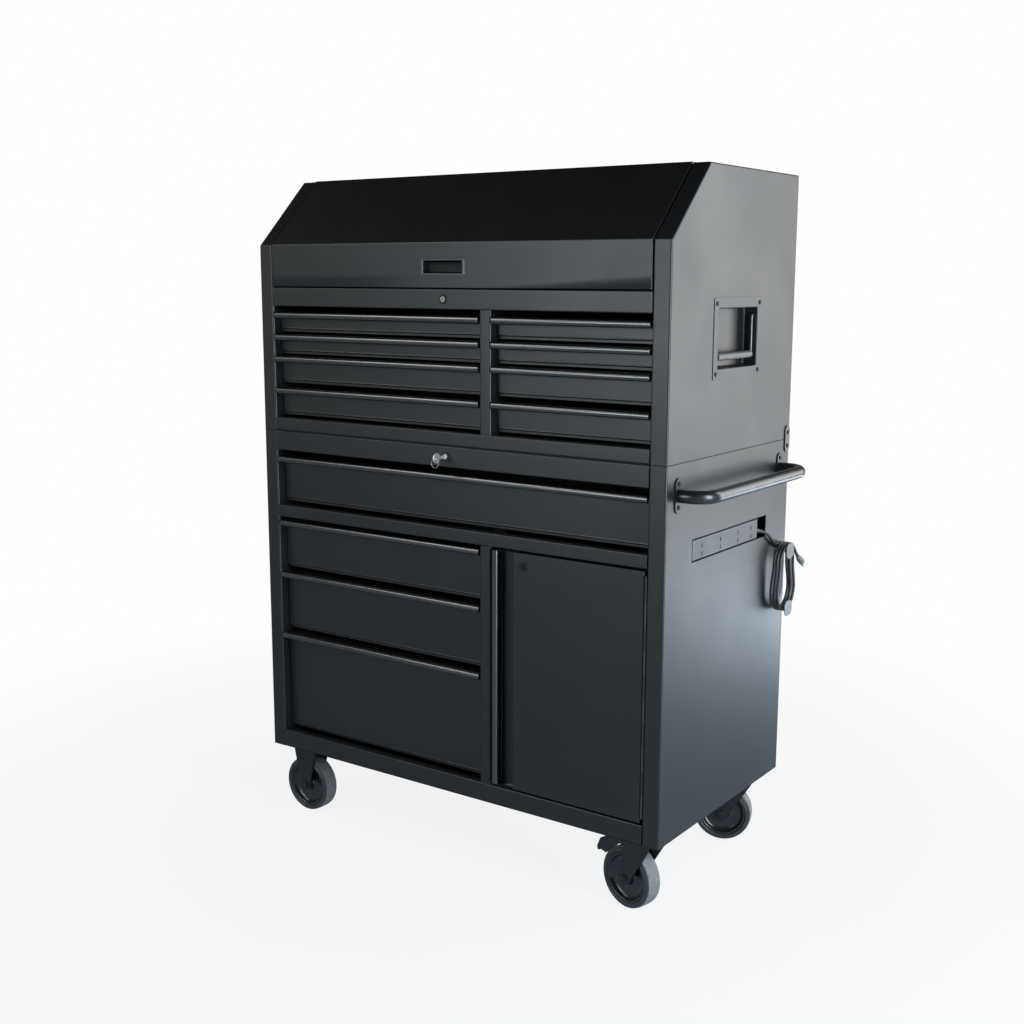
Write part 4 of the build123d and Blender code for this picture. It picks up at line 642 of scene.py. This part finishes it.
# Door. A pan of folded sheet with a finger recess down its free edge, where its pull stands.
# Its leaf of the piano hinge is painted with it, and its lock is black.
lock_black = finish("lock_black", (0.004, 0.004, 0.0045), 0.22, tone=0.1, patch=0.01, grain=0.003,
                    rise=0.000001)
door_x, x_step, door_z, door_depth = (95.75, 496.65), 155.75, (238.0, 802.0), 24.0
y_recess, recess_return, pull_end_gap = y_front + face_inset, 12, 1.4
door_inside = (326.0, y_front + 60, 520.0)
door_profile = rounded([(door_x[1], y_front + door_depth), (door_x[1], y_front), (x_step, y_front),
                        (x_step, y_recess), (door_x[0], y_recess),
                        (door_x[0], y_recess + recess_return)], 2.6)
door_grid = carried(door_profile, (0, 1), door_z)
door_skins = [skin(door_grid)]
for row in (door_grid[0], door_grid[-1]):
    face, recess = row[1:12], row[15:21]
    door_skins.append(skin(np.stack([face, face * (1, 0, 1) + (0, y_front + door_depth, 0)])))
    door_skins.append(skin(np.stack([recess, recess * (1, 0, 1) + (0, y_front, 0)])))
build("door_pan", door_skins, paint, "door", door_inside, sheet,
      replaces=["door"])
pull_bar = carried((pull_outline() * (1, -1)) + (y_front, door_x[0]), (1, 0),
                   [door_z[0] + pull_end_gap, door_z[1] - pull_end_gap])
build("door_pull.bar", [skin(pull_bar, around=True, caps=both_ends)], pull_finish, "door",
      soft=0.35, replaces=["door_pull"])
door_solids = sorted(shells("door"), key=lambda shell: -np.prod(limits(shell)[1] - limits(shell)[0] + 1))
leaf_from, lock_up_to = 300, 60
leaf = [shell for shell in door_solids[1:] if np.ptp(limits(shell), axis=0)[2] > leaf_from]
lock = [shell for shell in door_solids[1:] if np.ptp(limits(shell), axis=0)[2] < lock_up_to]
softened("door_hinge_leaf", leaf, paint, "door", 0.2)
softened("door_lock", lock, lock_black, "door", 0.8)

# Locks and key. Cylinder locks with black bezels. The chest's and the cabinet's plugs are
# plated, the door's is black, and one flat key with its wire ring is in the cabinet's.
plug_steel = finish("plug_steel", (0.3, 0.29, 0.275), 0.3, metallic=1.0, tone=0.15, patch=0.004,
                    spread=0.08, grain=0.0012, rise=0.00006)
for node, body, material in (("chest_lock_plug", "chest_lock", plug_steel),
                             ("cabinet_lock_plug", "cabinet_lock", nickel),
                             ("door_lock_plug", "door_lock", lock_black)):
    softened(f"{node}.face", shells(node), material, body, 0.3, replaces=[node])
softened("lock_bezels", shells("lock_housings"), lock_black, "carcass", 0.8,
         replaces=["lock_housings"])
key_nickel = finish("key_nickel", (0.85, 0.83, 0.79), 0.42, metallic=1.0, tone=0.1, patch=0.003, spread=0.1,
                    grain=0.0012, rise=0.00008)
key_solids = sorted(shells("cabinet_key"), key=lambda shell: len(shell[1]))
softened("key", key_solids[:1], key_nickel, "cabinet_lock", 0.25, replaces=["cabinet_key"])
softened("key_ring", key_solids[1:], zinc, "cabinet_lock", 0.1)

# Side handles. A tray of pressed steel is screwed into each side of the chest. A bent rod
# with a plastic-coated grip hangs in it and swings out.
tray_paint = finish("tray_paint", (0.02, 0.0215, 0.023), 0.34, level=0.5, tone=0.1, patch=0.12, spread=0.05,
                    grain=0.0009, rise=0.000012)
bail_steel = finish("bail_steel", (0.12, 0.124, 0.128), 0.34, metallic=0.7, tone=0.1, patch=0.04,
                    spread=0.06, grain=0.0008, rise=0.00001)
grip_grey = finish("grip_grey", (0.05, 0.052, 0.054), 0.4, tone=0.1, patch=0.04, spread=0.05, grain=0.0007,
                   rise=0.00003)
tray_steps = [(118.6, 88.6, 8, -0.1), (119, 89, 8, 0.3), (118.9, 88.9, 8, 1.1), (118.4, 88.4, 7.6, 1.5),
              (99.5, 68, 6, 1.5), (98, 66.5, 5, 1.1), (96.9, 65.4, 4.2, 0), (96.5, 65, 4, -2),
              (96.5, 65, 4, -28), (95.6, 64.1, 3.4, -31), (93.5, 62, 3, -32.4), (40, 30, 3, -32.5)]
tray_grid = dished((tray_y, tray_z), tray_steps, (1, 2), (x_right, 1.0))
x_bail, z_grip, z_pivot = 535.25, 1244, 1332
rod = rounded([(x_bail, -76.1, z_pivot), (x_bail, -65.1, z_pivot), (x_bail, -65.1, z_grip),
               (x_bail, 115.9, z_grip), (x_bail, 115.9, z_pivot), (x_bail, 126.9, z_pivot)], 3.5, 6)
grip = np.array([(-58.6, 6.6), (-58.5, 7.8), (-57.6, 8.4), (-56, 8.5), (25.4, 8.7), (106.8, 8.5),
                 (108.4, 8.4), (109.3, 7.8), (109.4, 6.6)])
grip_path = np.column_stack([np.full(len(grip), x_bail), grip[:, 0], np.full(len(grip), float(z_grip))])
for side, flip in both_sides:
    stands_for = ["side_handle_trays"] if side == "right" else []
    build(f"handle_tray_{side}", [skin(flip(tray_grid), around=True, caps=[-1])], paint, "carcass",
          flip(np.array((x_right - 60, tray_y, tray_z))), 1.2, replaces=stands_for, crease=40)
    bail_points, bail_faces = tube(rod, 3.0, 20)
    grip_points, grip_faces = tube(grip_path, grip[:, 1], 28)
    build(f"bail_{side}", [(flip(bail_points), bail_faces)], bail_steel, f"side_handle_{side}",
          replaces=[f"side_handle_{side}"], crease=50)
    build(f"grip_{side}", [(flip(grip_points), grip_faces)], grip_grey, f"side_handle_{side}",
          crease=60)

# Push handle. A bent steel tube, painted glossier than the body, is welded to two oval
# flanges, each held by two pan-head screws.
handle_paint = finish("handle_enamel", (0.008, 0.0082, 0.0084), 0.3, level=0.6, tone=0.12, patch=0.15,
                      spread=0.04, grain=0.003, rise=0.000002)
handle_y, z_handle, handle_x, handle_radius = (-237.6, 274.4), 962.5, 613.25, 14.5
handle_line = rounded([(x_right + 1, handle_y[0], z_handle), (handle_x, handle_y[0], z_handle),
                       (handle_x, handle_y[1], z_handle), (x_right + 1, handle_y[1], z_handle)], 45.0, 14)
flange_steps = [(14.3, 37.8, 14.3, 0), (14.5, 38, 14.5, 0.5), (14.5, 38, 14.5, 2.2), (14.0, 37.5, 14.0, 3.0)]
handle_skins = [tube(handle_line, handle_radius, 40)]
for y in handle_y:
    flange = dished((y, z_handle), flange_steps, (1, 2), (x_right, 1.0))
    handle_skins.append(skin(flange, around=True, caps=both_ends))
build("push_handle.tube", handle_skins[:1], handle_paint, "carcass", replaces=["push_handle"],
      crease=60)
build("push_handle.flanges", handle_skins[1:], paint, "carcass", crease=40)

# Screws, bolts and tie plates. Pan-head screws hold the trays, the push handle and the tie
# plates, and hexagon bolts hold the casters. All are blackened steel, the plates painted.
screw_black = finish("screw_black", (0.008, 0.008, 0.009), 0.42, level=0.12, tone=0.1, patch=0.01,
                     grain=0.0006, rise=0.000006)
softened("screws_and_bolts", shells("fasteners"), screw_black, "carcass", 0.3,
         replaces=["fasteners"])
softened("tie_plate_pair", shells("tie_plates"), tray_paint, "carcass", 0.6,
         replaces=["tie_plates"])

# Power strip. A long case behind the slot in the right side, painted as the body, with four
# pairs of narrow outlet slots. The cord leaves its rear end through a rubber relief.
strip_paint = finish("strip_paint", (0.02, 0.022, 0.024), 0.4, level=0.42, tone=0.1, patch=0.2, spread=0.03,
                     grain=0.0011, rise=0.00002)
strip_y, strip_z, x_strip, x_strip_back = (-165.6, 167.4), (806.0, 856.0), 543.6, 504.5
strip_gap, strip_end_gap, outlet_depth, lip_x = 2.4, 0.6, 8, (542.6, 543.9)
outlet_y, outlet_z, outlet_half = (-115.6, -25.6, 64.4, 133.4), (818.5, 836.5), (1.7, 4.8)
face_y, face_z, holes = [strip_y[0] + 2 * strip_gap], [strip_z[0] + strip_gap], []
for y in outlet_y:
    face_y += [y - outlet_half[0], y + outlet_half[0]]
for z in outlet_z:
    face_z += [z - outlet_half[1], z + outlet_half[1]]
face_y = np.array(face_y + [strip_y[1] - strip_end_gap])
face_z = np.array(face_z + [strip_z[1] - 1.3 * strip_gap])
face = np.stack(np.broadcast_arrays(x_strip, face_y[None, :], face_z[:, None]), -1).astype(float)


def box_outline(u, v):
    """The four corners of a rectangle from its limits in each direction."""
    return np.array([(u[0], v[0]), (u[1], v[0]), (u[1], v[1]), (u[0], v[1])])


strip_edge = carried(box_outline(face_y[[0, -1]], face_z[[0, -1]]), (1, 2), (x_strip, x_strip_back))
outlet_skins = []
for y in outlet_y:
    for z in outlet_z:
        slot_ys, slot_zs = (y - outlet_half[0], y + outlet_half[0]), (z - outlet_half[1], z + outlet_half[1])
        holes.append((np.array((x_strip - 1, slot_ys[0], slot_zs[0])),
                      np.array((x_strip + 1, slot_ys[1], slot_zs[1]))))
        well = carried(box_outline(slot_ys, slot_zs), (1, 2), (x_strip - 0.6, x_strip - outlet_depth))
        outlet_skins.append(skin(well, around=True, caps=[-1]))
# Near-black: the outlets' own black plastic insides, and painted shade on the strip's lips.
outlet_black_and_lip_shade = finish("outlet_black_and_painted_lip_shade", (0.002, 0.002, 0.002), 0.8, level=0.1)
strip_skins = [skin(face, leave_out=holes), skin(strip_edge, around=True, caps=[-1])]
build("strip_case", strip_skins, strip_paint, "carcass", replaces=["power_strip"], soft=0.3)
build("strip_outlets", outlet_skins, outlet_black_and_lip_shade, "carcass")
# The strip's own lips lie behind the slot's upper and lower edge. They are painted near-black as painted
# shade, so they show as dark lines.
for name, z in (("strip_lip_upper", (855.0, 863.0)), ("strip_lip_lower", (799.0, 807.0))):
    lip = carried(box_outline(lip_x, strip_y), (0, 1), z)
    build(name, [skin(lip, around=True, caps=both_ends)], outlet_black_and_lip_shade, "carcass")
relief_start, relief_end = np.array((537.25, 167.4, 825.0)), np.array((544.05, 186.0, 820.5))
share = np.array([-0.1, 0.0, 0.12, 0.2, 0.32, 0.4, 0.52, 0.6, 0.72, 0.8, 0.92, 1.0])
relief_radii = np.array([6.2, 6.2, 6.0, 5.3, 5.8, 5.0, 5.4, 4.7, 5.1, 4.5, 4.7, 4.1])
relief_path = relief_start + share[:, None] * (relief_end - relief_start)
build("cord_relief", [tube(relief_path, relief_radii, 24)], cord_black, "carcass", crease=50)

# Cord hook. Two arms of folded sheet steel, painted grey, with rounded ears that hold the
# coil. It is fixed to the right side below the strip's rear end.
hook_paint = finish("hook_enamel", (0.085, 0.088, 0.091), 0.5, metallic=0.1, tone=0.1, patch=0.03,
                    grain=0.0009, rise=0.00001)
softened("cord_hook.arms", shells("cord_hook"), hook_paint, "carcass", 0.6,
         replaces=["cord_hook"])

# Gas struts. A painted tube with a polished rod. Their eyes turn on studs of the till floor
# and of the lid.
rod_steel = finish("rod_chrome", (0.6, 0.61, 0.62), 0.14, metallic=1.0, tone=0.05, patch=0.05, grain=0.0005,
                   rise=0.000002)
softened("strut_tubes.barrel", shells("gas_strut_tubes"), handle_paint, "strut_tubes", 0.5,
         replaces=["gas_strut_tubes"])
softened("strut_rods.rod", shells("gas_strut_rods"), rod_steel, "strut_rods", 0.3,
         replaces=["gas_strut_rods"])

# Wheels. A dark rubber tyre with a dusty tread is moulded on a dark core with a dished
# flange and a plain hub.
tyre_rubber = finish("tyre_rubber", (0.03, 0.032, 0.034), 0.45, tone=0.3, patch=0.02, spread=0.08,
                     grain=0.0013, rise=0.00005)
tread_rubber = finish("tread_rubber", (0.15, 0.155, 0.158), 0.75, tone=0.45, patch=0.012, spread=0.1,
                      grain=0.0015, rise=0.0001)
core_grey = finish("core_grey", (0.01, 0.011, 0.012), 0.24, level=0.7, tone=0.15, patch=0.02, spread=0.05,
                   grain=0.0009, rise=0.00001)
wheel_radius, turned_steps = 72.5, 72
tyre_profile = np.array([(58.3, -19.0), (59.4, -21.0), (61.0, -22.0), (62.6, -21.2), (64.0, -20.4),
                         (66.5, -20.9), (69.0, -20.2), (70.9, -17.6), (71.2, -14), (71.2, 14), (70.9, 17.6),
                         (69.0, 20.2), (66.5, 20.9), (64.0, 20.4), (62.6, 21.2), (61.0, 22.0), (59.4, 21.0),
                         (58.3, 19.0), (57.9, 10), (57.9, -10)])
tread_profile = np.array([(70.0, -18.4), (71.3, -18.0), (72.0, -14), (72.4, -8), (wheel_radius, 0),
                          (72.4, 8), (72.0, 14), (71.3, 18.0), (70.0, 18.4), (69.8, 0)])
half_core = np.array([(5.1, 22.6), (5.6, 23), (16.2, 23), (17, 22.4), (17.2, 18), (18, 13.5), (21, 9.6),
                      (28, 8.2), (38, 8.0), (46, 9.4), (50, 12.6), (52, 17), (53.4, 19.4), (55, 20),
                      (57.6, 20), (58.3, 19.4)])
core_profile = np.vstack([half_core, half_core[::-1] * (1, -1)])


def lathed(profile, x, y, angle, x_axle):
    """A profile of (radius, place on the axle) turned round the axle, which lies across a caster that is
    turned by an angle about its own upright line at x, y."""
    turn = np.linspace(0, 2 * np.pi, turned_steps, endpoint=False)[:, None]
    on_axle = np.broadcast_to(profile[:, 1], (turned_steps, len(profile)))
    points = np.stack([x_axle + profile[:, 0] * np.cos(turn), on_axle,
                       wheel_radius + profile[:, 0] * np.sin(turn)], -1)
    c, s = np.cos(radians(angle)), np.sin(radians(angle))
    return points @ np.array([[c, s, 0], [-s, c, 0], [0, 0, 1]]) + (x, y, 0)


for place, y, angle in (("front", -221.6, -12.8), ("rear", 261.4, 18.2)):
    for side, x, turn, trail in (("right", 472.25, angle, -35.0), ("left", -549.75, 0.0, 0.0)):
        name = f"wheel_{place}_{side}"
        build(f"{name}.tyre", [skin(lathed(tyre_profile, x, y, turn, trail), True, True)], tyre_rubber, name,
              replaces=[name], crease=50)
        build(f"{name}.tread", [skin(lathed(tread_profile, x, y, turn, trail), True, True)], tread_rubber,
              name, crease=50)
        build(f"{name}.core", [skin(lathed(core_profile, x, y, turn, trail), True, True)], core_grey, name,
              crease=50)

# Casters. Pressed steel forks with round feet and an axle bolt. The right pair swivel on
# raceways and have a foot pedal of black plastic.
fork_black = finish("fork_black", (0.012, 0.013, 0.014), 0.3, level=0.5, metallic=0.2, tone=0.2, patch=0.03,
                    spread=0.08, grain=0.001, rise=0.00002)
pedal_plastic = finish("pedal_plastic", (0.01, 0.011, 0.012), 0.45, tone=0.15, patch=0.02, grain=0.0006,
                       rise=0.00002)
softened("rigid_forks", shells("rigid_caster_forks"), fork_black, "carcass", 0.7,
         replaces=["rigid_caster_forks"])
softened("swivel_plates", shells("swivel_caster_plates"), fork_black, "carcass", 0.5,
         replaces=["swivel_caster_plates"])
for place in ("front", "rear"):
    softened(f"fork_{place}", shells(f"swivel_fork_{place}"), fork_black, f"swivel_{place}",
             0.7, replaces=[f"swivel_fork_{place}"])
    softened(f"pedal_{place}", shells(f"brake_pedal_{place}"), pedal_plastic, f"brake_pedal_{place}",
             1.2, replaces=[f"brake_pedal_{place}"])

# Inner sheets. The back, the floors, the partitions and the till floor are plain painted sheets.
# The floors, the partitions, the till floor, the cabinet's top and the chest's bottom are painted a
# darker, duller black than the body as painted shade, so seams and hollows read dark. The fixed
# rails of the slides are plated, and the hinges are painted.
# Painted shade: a darker, duller black for the sheets seen in seams and hollows.
inner_shade_paint = finish("inner_shade_paint", (0.005, 0.005, 0.006), 0.6, level=0.2, tone=0.1, patch=0.5)
inner_finishes = [("cabinet_back", paint), ("cabinet_floor", inner_shade_paint), ("cabinet_partition", inner_shade_paint),
                  ("cabinet_top", inner_shade_paint), ("chest_back", paint), ("chest_bottom", inner_shade_paint),
                  ("chest_till_floor", inner_shade_paint), ("chest_partition", inner_shade_paint), ("drawer_rails", zinc),
                  ("piano_hinges", tray_paint)]
for node, material in inner_finishes:
    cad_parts[node].data.materials.clear()
    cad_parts[node].data.materials.append(material)
